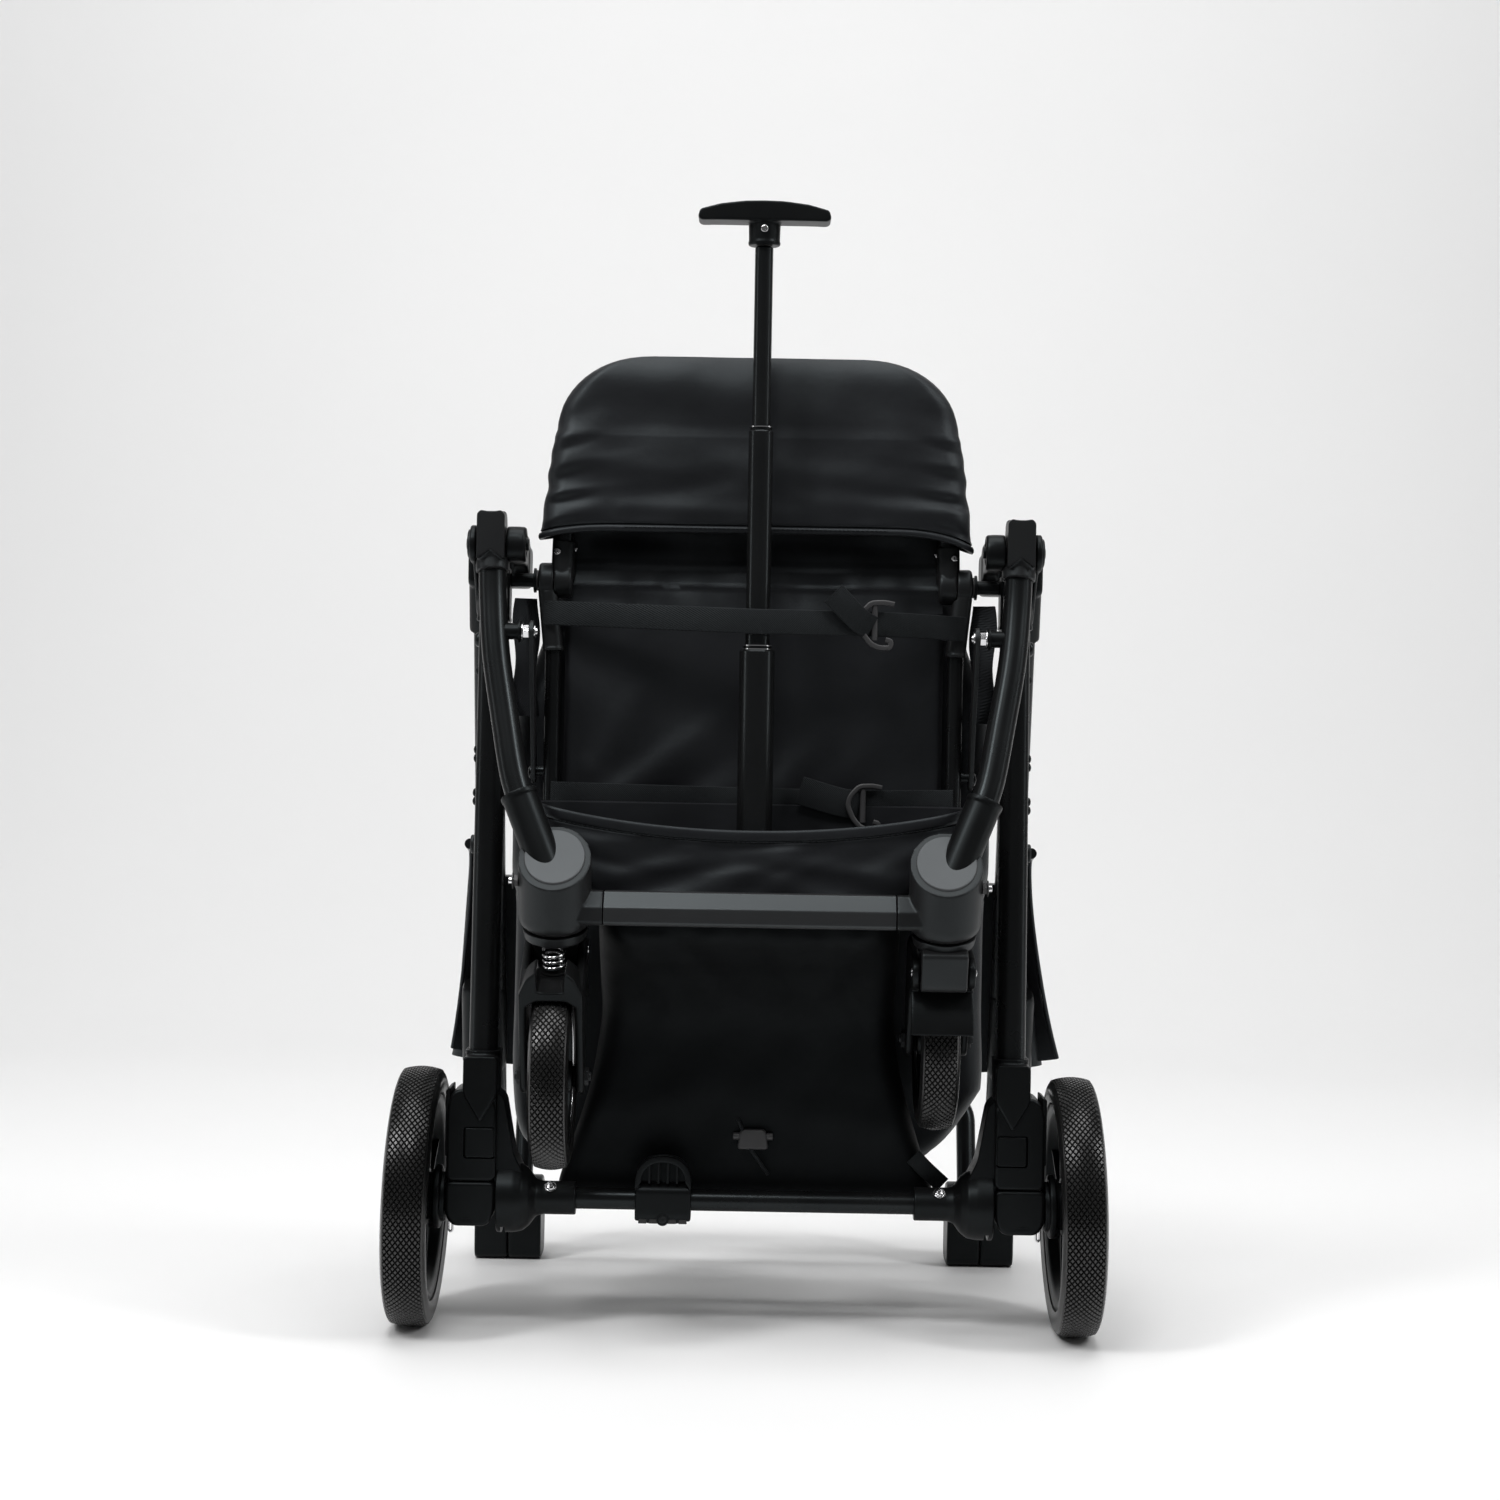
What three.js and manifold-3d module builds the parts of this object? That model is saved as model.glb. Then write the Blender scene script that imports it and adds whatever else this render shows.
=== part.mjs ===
// Folding pet stroller, standing folded on its rear wheels and on the knuckles of its push handle,
// with the trolley rod pulled out. Millimetres, +Z up, +X to the stroller's right, +Y to the rear.
// Y is counted from the rear wheel axis and the whole group is moved by stanceShift at the end,
// so that the origin is under the middle of the folded stroller.
import * as THREE from 'three';
import { mergeVertices } from 'three/addons/utils/BufferGeometryUtils.js';
import Module from 'manifold-3d';

const wasm = await Module();
wasm.setup();

// ---------------------------------------------------------------- driving dimensions
const gap = 0.3; // clearance between touching pieces
const rearWheelRadius = 90;
const rearTyreWidth = 31;
const rearWheelX = 229;
const camber = THREE.MathUtils.degToRad(1.4);
const legX = 183;
const legWidth = 20;
const legDepth = 28;
const axleTubeRadius = 7.5;

const foldY = -22; // main fold axis of the front legs and the push handle
const foldZ = 544;
const seatPivotY = 6; // axis of the seat frame on the rear legs
const seatPivotZ = 521;

const frontLegRadius = 9.6;
const casterX = 131;
const casterY = -80;
const casterZ = 313;
const casterTilt = THREE.MathUtils.degToRad(20);
const capTilt = THREE.MathUtils.degToRad(48);
const casterTrail = 33;
const frontWheelRadius = 63;
const frontTyreWidth = 27;
const frontWheelDrop = 125.6; // housing centre to wheel centre along the swivel axis
const crossbarZ = 298.5;

const seatTubeX = 140.3;
const seatTubeRadius = 5.5;
const seatDrumRadius = 12.5;
const seatDrumSeam = 140.5; // between the ratchet drum of the bow and the cheek of the seat frame
const bowRadius = 7.5;
const rodX = 2;
const rodY = -40;
const rodStages = [
  { name: 'trolley_outer_tube', radius: 12.2, bore: 8.8, low: 284, high: 474 },
  { name: 'trolley_middle_tube', radius: 8.4, bore: 6.5, low: 434, high: 624 },
  { name: 'trolley_inner_tube', radius: 6.2, bore: 0, low: 574, high: 749 },
];

const handleRadius = 11;
const handleTop = { x: 190.5, y: 50, z: 522 };
const handleLow = { x: 198, z: 72 };
const knuckle = { y: 262, z: 40, inner: 159, seam: 185, outer: 211 };
const hoodPivot = { y: 136, z: 330 };

const stanceShift = -88.9;

// ---------------------------------------------------------------- colours and finishes
function finish(color, roughness, metalness) {
  return new THREE.MeshStandardMaterial({ color, roughness, metalness });
}

const looks = {
  tube: finish(0x1b1c1e, 0.38, 0.6),
  rod: finish(0x16171a, 0.28, 0.7),
  plastic: finish(0x1c1d1f, 0.6, 0),
  charcoal: finish(0x3a3d40, 0.55, 0),
  rubber: finish(0x1f2021, 0.8, 0),
  fabric: finish(0x17191d, 0.9, 0),
  webbing: finish(0x121315, 0.85, 0),
  chrome: finish(0xd5d8da, 0.15, 1),
};

// ---------------------------------------------------------------- solids
function closed(geometry) {
  const bare = geometry.index ? geometry.toNonIndexed() : geometry.clone();
  bare.deleteAttribute('normal');
  bare.deleteAttribute('uv');
  return mergeVertices(bare, 1e-3);
}

function toManifold(geometry) {
  const merged = closed(geometry);
  return new wasm.Manifold(new wasm.Mesh({
    numProp: 3,
    vertProperties: new Float32Array(merged.attributes.position.array),
    triVerts: new Uint32Array(merged.index.array),
  }));
}

function toGeometry(manifold) {
  const mesh = manifold.getMesh();
  const geometry = new THREE.BufferGeometry();
  geometry.setAttribute('position', new THREE.BufferAttribute(new Float32Array(mesh.vertProperties), 3));
  geometry.setIndex(new THREE.BufferAttribute(new Uint32Array(mesh.triVerts), 1));
  return geometry;
}

function join(first, ...others) {
  return toGeometry(others.reduce((sum, other) => sum.add(toManifold(other)), toManifold(first)));
}

function cut(first, ...others) {
  return toGeometry(others.reduce((rest, other) => rest.subtract(toManifold(other)), toManifold(first)));
}

function common(first, second) {
  return toGeometry(toManifold(first).intersect(toManifold(second)));
}

// The same solid on the other side of the middle plane, with its faces still pointing out.
function mirrored(geometry) {
  const copy = closed(geometry);
  copy.scale(-1, 1, 1);
  const index = copy.index.array;
  for (let i = 0; i < index.length; i += 3) {
    const swap = index[i];
    index[i] = index[i + 1];
    index[i + 1] = swap;
  }
  return copy;
}

function box(x0, x1, y0, y1, z0, z1) {
  const geometry = new THREE.BoxGeometry(x1 - x0, y1 - y0, z1 - z0);
  return geometry.translate((x0 + x1) / 2, (y0 + y1) / 2, (z0 + z1) / 2);
}

function roundedRect(width, height, radius, steps = 3) {
  const w = width / 2;
  const h = height / 2;
  const shape = new THREE.Shape();
  const corners = [[w - radius, h - radius, 0], [radius - w, h - radius, 1], [radius - w, radius - h, 2],
    [w - radius, radius - h, 3]];
  const points = [];
  for (const [x, y, quarter] of corners) {
    for (let i = 0; i <= steps; i += 1) {
      const angle = (quarter + i / steps) * Math.PI / 2;
      points.push(new THREE.Vector2(x + radius * Math.cos(angle), y + radius * Math.sin(angle)));
    }
  }
  shape.setFromPoints(points);
  return shape;
}

// Plate from 0 up to a thickness along Z, with the edges of both faces broken.
function plate(shape, thickness, bevel, bevelSegments) {
  const geometry = new THREE.ExtrudeGeometry(shape, {
    depth: thickness - 2 * bevel,
    bevelEnabled: bevel > 0,
    bevelThickness: bevel,
    bevelSize: bevel,
    bevelOffset: -bevel,
    bevelSegments,
    curveSegments: 6,
  });
  return geometry.translate(0, 0, bevel);
}

// Plate with an outline in Y (first) and Z (second), between two X planes.
function plateX(shape, x0, x1, bevel = 1, bevelSegments = 1) {
  const basis = new THREE.Matrix4().makeBasis(
    new THREE.Vector3(0, 1, 0), new THREE.Vector3(0, 0, 1), new THREE.Vector3(1, 0, 0));
  return plate(shape, x1 - x0, bevel, bevelSegments).applyMatrix4(basis).translate(x0, 0, 0);
}

// Plate with an outline in X and Z, between two Y planes.
function plateY(shape, y0, y1, bevel = 1, bevelSegments = 1) {
  return plate(shape, y1 - y0, bevel, bevelSegments).rotateX(Math.PI / 2).translate(0, y1, 0);
}

function outline(points) {
  return new THREE.Shape(points.map(([a, b]) => new THREE.Vector2(a, b)));
}

// Turned piece on the X axis: the profile is [distance along X, radius] from axis to axis, or closed.
function turnedX(profile, segments = 16) {
  const points = profile.map(([along, radius]) => new THREE.Vector2(radius, along));
  return new THREE.LatheGeometry(points, segments).rotateZ(-Math.PI / 2);
}

function turnedZ(profile, segments = 16) {
  const points = profile.map(([along, radius]) => new THREE.Vector2(radius, along));
  return new THREE.LatheGeometry(points, segments).rotateX(Math.PI / 2);
}

function pinX(radius, x0, x1, y, z, segments = 12) {
  return turnedX([[x0, 0], [x0, radius], [x1, radius], [x1, 0]], segments).translate(0, y, z);
}

const vector = ([x, y, z]) => new THREE.Vector3(x, y, z);

// Round bar along a smooth line through the given points.
function roundBar(points, radius, steps, sides = 12, tension = 0.5) {
  const path = new THREE.CatmullRomCurve3(points.map(vector), false, 'catmullrom', tension);
  return barOn(path, radius, steps, sides);
}

function barOn(path, radius, steps, sides = 12) {
  const section = new THREE.Shape();
  section.absarc(0, 0, radius, 0, Math.PI * 2, false);
  return new THREE.ExtrudeGeometry(section, {
    steps,
    extrudePath: path,
    curveSegments: sides,
    bevelEnabled: false,
  });
}

// Straight bar of any section; the section's first direction stays across the stroller.
function straightBar(shape, from, to) {
  const start = vector(from);
  const direction = vector(to).sub(start);
  const geometry = plate(shape, direction.length(), 0, 1);
  const along = direction.normalize();
  const side = new THREE.Vector3(1, 0, 0);
  const up = new THREE.Vector3().crossVectors(along, side).normalize();
  side.crossVectors(up, along);
  const place = new THREE.Matrix4().makeBasis(side, up, along).setPosition(start);
  return geometry.applyMatrix4(place);
}

function circle(radius, sides = 12) {
  const points = [];
  for (let i = 0; i < sides; i += 1) {
    const angle = i / sides * Math.PI * 2;
    points.push(new THREE.Vector2(radius * Math.cos(angle), radius * Math.sin(angle)));
  }
  return new THREE.Shape(points);
}

// Closed solid through level sections, each a rounded rectangle given by its half width and Y range.
function loft(levels, cornerSteps = 3) {
  const count = 4 * (cornerSteps + 1);
  const rings = levels.map(({ z, half, y0, y1, radius }) => {
    const points = roundedRect(2 * half, y1 - y0, radius, cornerSteps).getPoints().slice(0, count);
    return points.map((p) => new THREE.Vector3(p.x, p.y + (y0 + y1) / 2, z));
  });
  const positions = rings.flat().flatMap((p) => [p.x, p.y, p.z]);
  const index = [];
  for (let level = 0; level + 1 < rings.length; level += 1) {
    for (let i = 0; i < count; i += 1) {
      const a = level * count + i;
      const b = level * count + (i + 1) % count;
      index.push(a, b, b + count, a, b + count, a + count);
    }
  }
  const top = (rings.length - 1) * count;
  for (let i = 1; i + 1 < count; i += 1) {
    index.push(0, i + 1, i);
    index.push(top, top + i, top + i + 1);
  }
  const geometry = new THREE.BufferGeometry();
  geometry.setAttribute('position', new THREE.Float32BufferAttribute(positions, 3));
  geometry.setIndex(index);
  return geometry;
}

// ---------------------------------------------------------------- scene graph
const stroller = new THREE.Group();
stroller.position.y = stanceShift;

function add(name, geometry, look, parent = stroller) {
  const mesh = new THREE.Mesh(geometry, look);
  mesh.name = name;
  parent.add(mesh);
  return mesh;
}

const sides = [{ word: 'right', sign: 1 }, { word: 'left', sign: -1 }];

// A piece made on the right, and its mirror image on the left.
function addPair(name, geometry, look) {
  add(`${name}_right`, geometry, look);
  add(`${name}_left`, mirrored(geometry), look);
}

// ---------------------------------------------------------------- rear frame
const legLow = [legX + 1.5, 2, 108];
const legHigh = [legX - 1, 8, 524];
const hubBottom = 72;
const hubTop = 167;

function rearLeg() {
  return straightBar(roundedRect(legWidth, legDepth, 8, 3), legLow, legHigh);
}

// Clearance hole for the leg, a little larger all round and longer at its open end.
function rearLegBore() {
  const low = [legLow[0], legLow[1], legLow[2] - gap];
  return straightBar(roundedRect(legWidth + 2 * gap, legDepth + 2 * gap, 8.3, 3), low, legHigh);
}

const buttonSize = 21;
const buttonZ = 130;
const buttonX = legX + 1.5;
const hubFront = -18.5;

function hubHousing() {
  const body = plateY(outline([[173, 84], [178, hubBottom], [203, hubBottom], [207.5, 80], [207.5, 156],
    [200, hubTop], [180, hubTop], [173, 158]]), hubFront, 21, 3, 2);
  const sleeve = straightBar(roundedRect(24, 33, 9, 3), [legX + 1.3, 2.6, 150], [legX + 1, 3.3, 193]);
  const tongue = plateY(outline([[172.8, 192], [172.8, 163], [184.4, 145], [195.8, 163], [195.8, 192]]),
    hubFront - 3, 0, 1.5);
  const pocket = box(buttonX - buttonSize / 2 - gap, buttonX + buttonSize / 2 + gap, hubFront - 1, -12.4,
    buttonZ - buttonSize / 2 - gap, buttonZ + buttonSize / 2 + gap);
  const hingeSide = box(170, 173.3, -30, 40, 60, 120);
  return cut(join(body, sleeve, tongue), rearLegBore(), pocket, hingeSide);
}

function releaseButton() {
  const face = plateY(roundedRect(buttonSize, buttonSize, 2, 2), hubFront - 0.6, -15.5, 1);
  return face.translate(buttonX, 0, buttonZ);
}

// Bell-shaped inner half of the hub, with the socket that takes the axle tube.
function axleSocket() {
  return turnedX([[134.3, 0], [134.3, axleTubeRadius + gap], [118, axleTubeRadius + gap], [118, 10.5],
    [119, 11.5], [143, 11.5], [147, 14], [151, 20], [156, 23.5], [172.9, 24.5], [172.9, 0]], 18)
    .translate(0, 0, rearWheelRadius);
}

function axleTube() {
  return pinX(axleTubeRadius, -134, 134, 0, rearWheelRadius, 16);
}

// Top fitting of the rear leg: a cap on the tube and a cheek with the round fold joint on it.
function hingeBracket() {
  const cap = straightBar(roundedRect(22, 31, 7, 3), [legX - 0.8, 7.6, 492], [legX - 1, 8, 529]);
  const cheek = plateX(outline([[-34, 538], [-34, 550], [-28, 556], [-18, 557], [-10, 554], [16, 534],
    [22, 524], [22, 496], [8, 496], [-6, 514], [-22, 530]]), 192, 195, 0.8);
  const drum = turnedX([[192, 0], [192, 13], [197, 13], [198.7, 11.5], [198.7, 0]], 20)
    .translate(0, foldY, foldZ);
  const block = box(182, 193, 6, 22, 500, 532);
  const bore = straightBar(roundedRect(legWidth + 2 * gap, legDepth + 2 * gap, 8.3, 3), legLow,
    [legHigh[0], legHigh[1], legHigh[2] + gap]);
  const turningRoom = pinX(24.3, 165, 191.95, foldY, foldZ, 20);
  return cut(join(cap, cheek, drum, block), bore, turningRoom, foldBore());
}

function foldBore() {
  return pinX(4 + gap, 150, 220, foldY, foldZ, 10);
}

function hingePin() {
  return turnedX([[156.8, 0], [156.8, 4], [199, 4], [199, 7], [202, 7], [202, 0]], 10)
    .translate(0, foldY, foldZ);
}

// Spacer between the rear leg and the seat knuckle, with its washer.
function seatPivotSpacer() {
  const profile = [[151.6, 0], [151.6, 5], [153, 5], [153, 8.5], [155, 8.5], [155, 5],
    [170.8, 5], [170.8, 0]];
  return turnedX(profile, 10).translate(0, seatPivotY, seatPivotZ);
}

addPair('rear_leg_tube', rearLeg(), looks.tube);
addPair('rear_hub_housing', hubHousing(), looks.plastic);
addPair('wheel_release_button', releaseButton(), looks.plastic);
addPair('axle_socket', axleSocket(), looks.plastic);
add('rear_axle_tube', axleTube(), looks.tube);
addPair('hinge_bracket', hingeBracket(), looks.plastic);
addPair('hinge_pin', hingePin(), looks.plastic);
addPair('seat_pivot_spacer', seatPivotSpacer(), looks.plastic);

// ---------------------------------------------------------------- rear wheels
function tyre(radius, width, depth, segments) {
  const w = width / 2;
  return turnedX([[-w + 2, radius - depth], [-w, radius - 8], [-w + 3.5, radius - 2], [0, radius],
    [w - 3.5, radius - 2], [w, radius - 8], [w - 2, radius - depth], [-w + 2, radius - depth]], segments);
}

// Rim with a thin web; inward is the side that faces the stroller's middle plane.
function rearRim(inward) {
  const outer = rearWheelRadius - 18 - gap;
  const rim = turnedX([[-8, 0], [-8, 22], [-3, 24], [-3, outer - 10], [-12, outer - 7], [-12, outer],
    [12, outer], [12, outer - 7], [3, outer - 10], [3, 24], [9, 20], [9, 0]], 28);
  const collar = turnedX([[-21, 0], [-21, 17], [-17, 22], [-12, 22], [-11, 18], [-7.5, 18], [-7.5, 0]]);
  return join(rim, inward > 0 ? mirrored(collar) : collar);
}

for (const { word, sign } of sides) {
  const wheel = new THREE.Group();
  wheel.position.set(sign * rearWheelX, 0, rearWheelRadius);
  wheel.rotation.y = -sign * camber;
  stroller.add(wheel);
  add(`rear_tyre_${word}`, tyre(rearWheelRadius, rearTyreWidth, 18, 48), looks.rubber, wheel);
  add(`rear_rim_${word}`, rearRim(-sign), looks.plastic, wheel);
}

// ---------------------------------------------------------------- brake pedal on the axle
const pedalX = -57;
const pedalWidth = 39;

function brakePedal() {
  const half = pedalWidth / 2;
  const clamp = plateX(roundedRect(21, 26, 7, 3), -half, half, 1.5).translate(0, 0, rearWheelRadius - 1);
  const ringShape = outline([[-half, 100], [half, 100], [half, 110], [13, 119], [4, 121], [-4, 121],
    [-13, 119], [-half, 110]]);
  const inner = half - 3;
  const windowShape = outline([[-inner, 104], [inner, 104], [inner, 108.5], [12, 115.5], [4, 117.5],
    [-4, 117.5], [-12, 115.5], [-inner, 108.5]]);
  const ring = cut(plateY(ringShape, -9, 4, 1), plateY(windowShape, -12, 1, 0));
  const bore = pinX(axleTubeRadius + gap, -30, 30, 0, rearWheelRadius, 20);
  return cut(join(clamp, ring), bore).translate(pedalX, 0, 0);
}

add('brake_pedal', brakePedal(), looks.plastic);

// ---------------------------------------------------------------- front frame
const ferruleTop = [157.5, -66.5, 374];
const ferruleFoot = [139.5, -78, 331];
const frontLegPoints = [[181.5, foldY - 1, foldZ - 9], [180, -29, 505], [176.5, -39, 468],
  [169, -51, 426], [161.5, -62, 388], [154, -69, 365]];

function frontLeg() {
  return roundBar(frontLegPoints, frontLegRadius, 12, 6);
}

function frontHingeBlock() {
  const shape = outline([[-13, -12], [0, -14], [12, -12], [12, 14], [9, 20], [5, 23], [-9, 23],
    [-13, 19]]);
  const block = plateX(shape, 172.1, 191.7, 1).translate(0, foldY, foldZ);
  const socket = straightBar(circle(12.5, 12), [181.6, foldY - 1, foldZ - 8],
    [181, foldY - 4, foldZ - 20]);
  const bore = straightBar(circle(frontLegRadius + 2 * gap, 12), [181.5, foldY - 1, foldZ - 8.6],
    [180.6, foldY - 5.4, foldZ - 36]);
  const slab = box(172.1, 191.7, -60, 20, 480, 600);
  return cut(common(join(block, socket), slab), bore, foldBore());
}

// Link bolt: a stub on the front leg that reaches in beside the link bar.
function linkBoltOn(leg) {
  const bolt = turnedX([[154.7, 0], [154.7, 5.5], [160, 5.5], [160, 8], [162.5, 8], [162.5, 5.5],
    [174, 5.5], [174, 0]], 10);
  return join(leg, bolt.translate(0, -35, 484));
}

// Swivel housing in its own frame: axis on Z, with the leg ferrule and the crossbar stub joined to it.
function casterHousing() {
  const toHousing = new THREE.Matrix4().makeRotationX(casterTilt).setPosition(casterX, casterY, casterZ);
  const barrel = turnedZ([[-30, 0], [-30, 20], [-26, 23.5], [-23, 24.5], [60, 24.5], [60, 0]], 24)
    .applyMatrix4(toHousing);
  const body = cut(barrel, capCutter());
  const ferrule = straightBar(circle(12.3, 14), ferruleFoot, ferruleTop);
  const stub = plateX(crossbarSection(), 98.3, 124, 0).translate(0, casterY, crossbarZ);
  const bore = straightBar(circle(frontLegRadius + 3 * gap, 12), [152.6, -69.6, 362.2],
    [159, -65.5, 378]);
  return cut(join(body, ferrule, stub), bore);
}

// Everything above the slanting plane that the cap lies on.
function capCutter() {
  const block = new THREE.BoxGeometry(100, 100, 60).translate(0, 0, 30);
  return block.rotateX(capTilt).translate(casterX, casterY - 6.8, casterZ + 18.6);
}

// Outline of the crossbar about its middle, with a wide slanting face on its upper front.
function crossbarSection() {
  return outline([[-9, -11.4], [8, -11.4], [12, -8], [12, 8], [8, 11.4], [-4, 11.4],
    [-12, 0.7], [-12, -9]]);
}

function crossbar() {
  return plateX(crossbarSection(), -98, 98, 0).translate(0, casterY, crossbarZ);
}

addPair('front_leg_tube', linkBoltOn(frontLeg()), looks.tube);
addPair('front_hinge_block', frontHingeBlock(), looks.plastic);
addPair('caster_housing', casterHousing(), looks.charcoal);
add('front_crossbar', crossbar(), looks.tube);

// ---------------------------------------------------------------- casters
// Caster frame: Z is the swivel axis, the wheel trails towards -Y, the origin is the housing's centre.
const forkPin = { y: 14, z: -53 };
const cheekInner = 16;
const cheekOuter = 21.5;

function casterNeck() {
  const collar = turnedZ([[-38.5, 0], [-38.5, 20], [-36.5, 22], [-30.4, 21], [-30.4, 0]], 20);
  const lobe = plateX(roundedRect(22, 28, 7, 3), -11, 11, 1.5).translate(0, forkPin.y, forkPin.z + 2);
  return join(collar, lobe);
}

function casterFork() {
  const cheekShape = outline([[forkPin.y + 8, forkPin.z - 3], [forkPin.y + 6, forkPin.z + 7],
    [forkPin.y - 3, forkPin.z + 9], [-24, -43], [-44, -44], [-52, -50], [-52, -70], [-46, -118], [-43, -133],
    [-33, -139], [-23, -133], [-20, -118], [-10, -80], [forkPin.y + 4, forkPin.z - 10]]);
  const inside = cheekInner + 1;
  const cheek = plateX(cheekShape, cheekInner, cheekOuter, 1.2);
  const boss = pinX(8, 13.9, inside, -casterTrail, -frontWheelDrop);
  const ear = pinX(6, 11.3, inside, forkPin.y, forkPin.z);
  const arch = plateX(outline([[-27, -43.4], [-44, -44.4], [-51.6, -50], [-51.6, -57.5], [-27, -57.5]]),
    -inside, inside, 0);
  const shelf = box(-inside, inside, -28, -4, -60, -56.2);
  return join(cheek, mirrored(cheek), arch, shelf, boss, mirrored(boss), ear, mirrored(ear));
}

class CoilCurve extends THREE.Curve {
  constructor(radius, height, turns) {
    super();
    this.radius = radius;
    this.height = height;
    this.turns = turns;
  }

  getPoint(t, target = new THREE.Vector3()) {
    const angle = t * this.turns * Math.PI * 2;
    return target.set(this.radius * Math.cos(angle), this.radius * Math.sin(angle), t * this.height);
  }
}

function casterSpring() {
  const wire = 1.25;
  const low = -56.2 + gap + wire;
  const high = -38.5 - gap - wire;
  return barOn(new CoilCurve(6.8, high - low, 3.5), wire, 35, 2).translate(0, -15, low);
}

function frontRim() {
  const outer = frontWheelRadius - 14 - gap;
  return turnedX([[-13.5, 0], [-13.5, 11], [-2.5, 14], [-2.5, outer - 8], [-10, outer - 5], [-10, outer],
    [10, outer], [10, outer - 5], [2.5, outer - 8], [2.5, 14], [13.5, 11], [13.5, 0]], 24);
}

for (const { word, sign } of sides) {
  const caster = new THREE.Group();
  caster.position.set(sign * casterX, casterY, casterZ);
  caster.rotation.x = casterTilt;
  stroller.add(caster);
  const swivel = new THREE.Group();
  swivel.rotation.z = word === 'right' ? Math.PI : 0;
  caster.add(swivel);
  add(`caster_neck_${word}`, casterNeck(), looks.plastic, swivel);
  add(`caster_fork_${word}`, casterFork(), looks.plastic, swivel);
  add(`caster_spring_${word}`, casterSpring(), looks.chrome, swivel);
  const wheel = new THREE.Group();
  wheel.position.set(0, -casterTrail, -frontWheelDrop);
  swivel.add(wheel);
  add(`front_tyre_${word}`, tyre(frontWheelRadius, frontTyreWidth, 14, 36), looks.rubber, wheel);
  add(`front_rim_${word}`, frontRim(), looks.plastic, wheel);
}

// ---------------------------------------------------------------- seat frame and front bow
function roundedPath(points, radius) {
  const path = new THREE.CurvePath();
  let last = vector(points[0]);
  for (let i = 1; i + 1 < points.length; i += 1) {
    const corner = vector(points[i]);
    const before = corner.clone().add(vector(points[i - 1]).sub(corner).setLength(radius));
    const after = corner.clone().add(vector(points[i + 1]).sub(corner).setLength(radius));
    path.add(new THREE.LineCurve3(last, before));
    path.add(new THREE.QuadraticBezierCurve3(before, corner, after));
    last = after;
  }
  path.add(new THREE.LineCurve3(last, vector(points[points.length - 1])));
  return path;
}

// Round tube along straight runs with rounded corners, with rings only where the tube bends.
function bentTube(points, cornerRadius, radius, sides = 12, cornerSteps = 5) {
  const places = [];
  const path = roundedPath(points, cornerRadius);
  for (const piece of path.curves) {
    const count = piece.isLineCurve3 ? 1 : cornerSteps;
    for (let i = 0; i < count; i += 1) {
      places.push(piece.getPoint(i / count));
    }
  }
  places.push(vector(points[points.length - 1]));
  return tubeThrough(places, radius, sides);
}

// Rings of a round section set square to the run at each place, with flat ends.
function tubeThrough(places, radius, sides) {
  const positions = [];
  const index = [];
  let across = null;
  places.forEach((place, i) => {
    const before = places[Math.max(i - 1, 0)];
    const after = places[Math.min(i + 1, places.length - 1)];
    const along = after.clone().sub(before).normalize();
    if (across === null) {
      across = Math.abs(along.y) < 0.9 ? new THREE.Vector3(0, 1, 0) : new THREE.Vector3(1, 0, 0);
    }
    across = across.clone().addScaledVector(along, -across.dot(along)).normalize();
    const other = new THREE.Vector3().crossVectors(along, across);
    for (let j = 0; j < sides; j += 1) {
      const angle = j / sides * Math.PI * 2;
      const point = place.clone().addScaledVector(across, radius * Math.cos(angle))
        .addScaledVector(other, radius * Math.sin(angle));
      positions.push(point.x, point.y, point.z);
    }
  });
  for (let i = 0; i + 1 < places.length; i += 1) {
    for (let j = 0; j < sides; j += 1) {
      const a = i * sides + j;
      const b = i * sides + (j + 1) % sides;
      index.push(a, b, b + sides, a, b + sides, a + sides);
    }
  }
  const last = (places.length - 1) * sides;
  for (let j = 1; j + 1 < sides; j += 1) {
    index.push(0, j + 1, j);
    index.push(last, last + j, last + j + 1);
  }
  const geometry = new THREE.BufferGeometry();
  geometry.setAttribute('position', new THREE.Float32BufferAttribute(positions, 3));
  geometry.setIndex(index);
  return geometry;
}

const knuckleLow = 498;

function seatFrameTube() {
  const low = 300;
  return bentTube([[seatTubeX, 0, knuckleLow], [seatTubeX, 0, low], [-seatTubeX, 0, low],
    [-seatTubeX, 0, knuckleLow]], 35, seatTubeRadius);
}

// Knuckle on top of the seat tube: a cheek that turns on the rear leg and carries the bow's ratchet.
function seatKnuckle() {
  const r = seatDrumRadius;
  const drum = turnedX([[seatDrumSeam + gap, 0], [seatDrumSeam + gap, r], [150, r], [151.3, r - 1.5],
    [151.3, 0]], 18).translate(0, seatPivotY, seatPivotZ);
  const foot = straightBar(roundedRect(14, 16, 5, 3), [seatTubeX + 0.4, 1, knuckleLow + 3],
    [145, 3, 513]);
  const turningRoom = pinX(r + 1, 110, seatDrumSeam, seatPivotY, seatPivotZ, 18);
  return cut(join(drum, foot), turningRoom);
}

// Round bar on the line of the front bow: up one side, over the top and down the other.
function bowTube(radius) {
  const foot = { x: seatTubeX - 5, y: seatPivotY - 2, z: seatPivotZ + 4 };
  const top = { x: 131, y: -2, z: 667 };
  return bentTube([[foot.x, foot.y, foot.z], [top.x, top.y, top.z], [-top.x, top.y, top.z],
    [-foot.x, foot.y, foot.z]], 50, radius, 10, 6);
}

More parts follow.
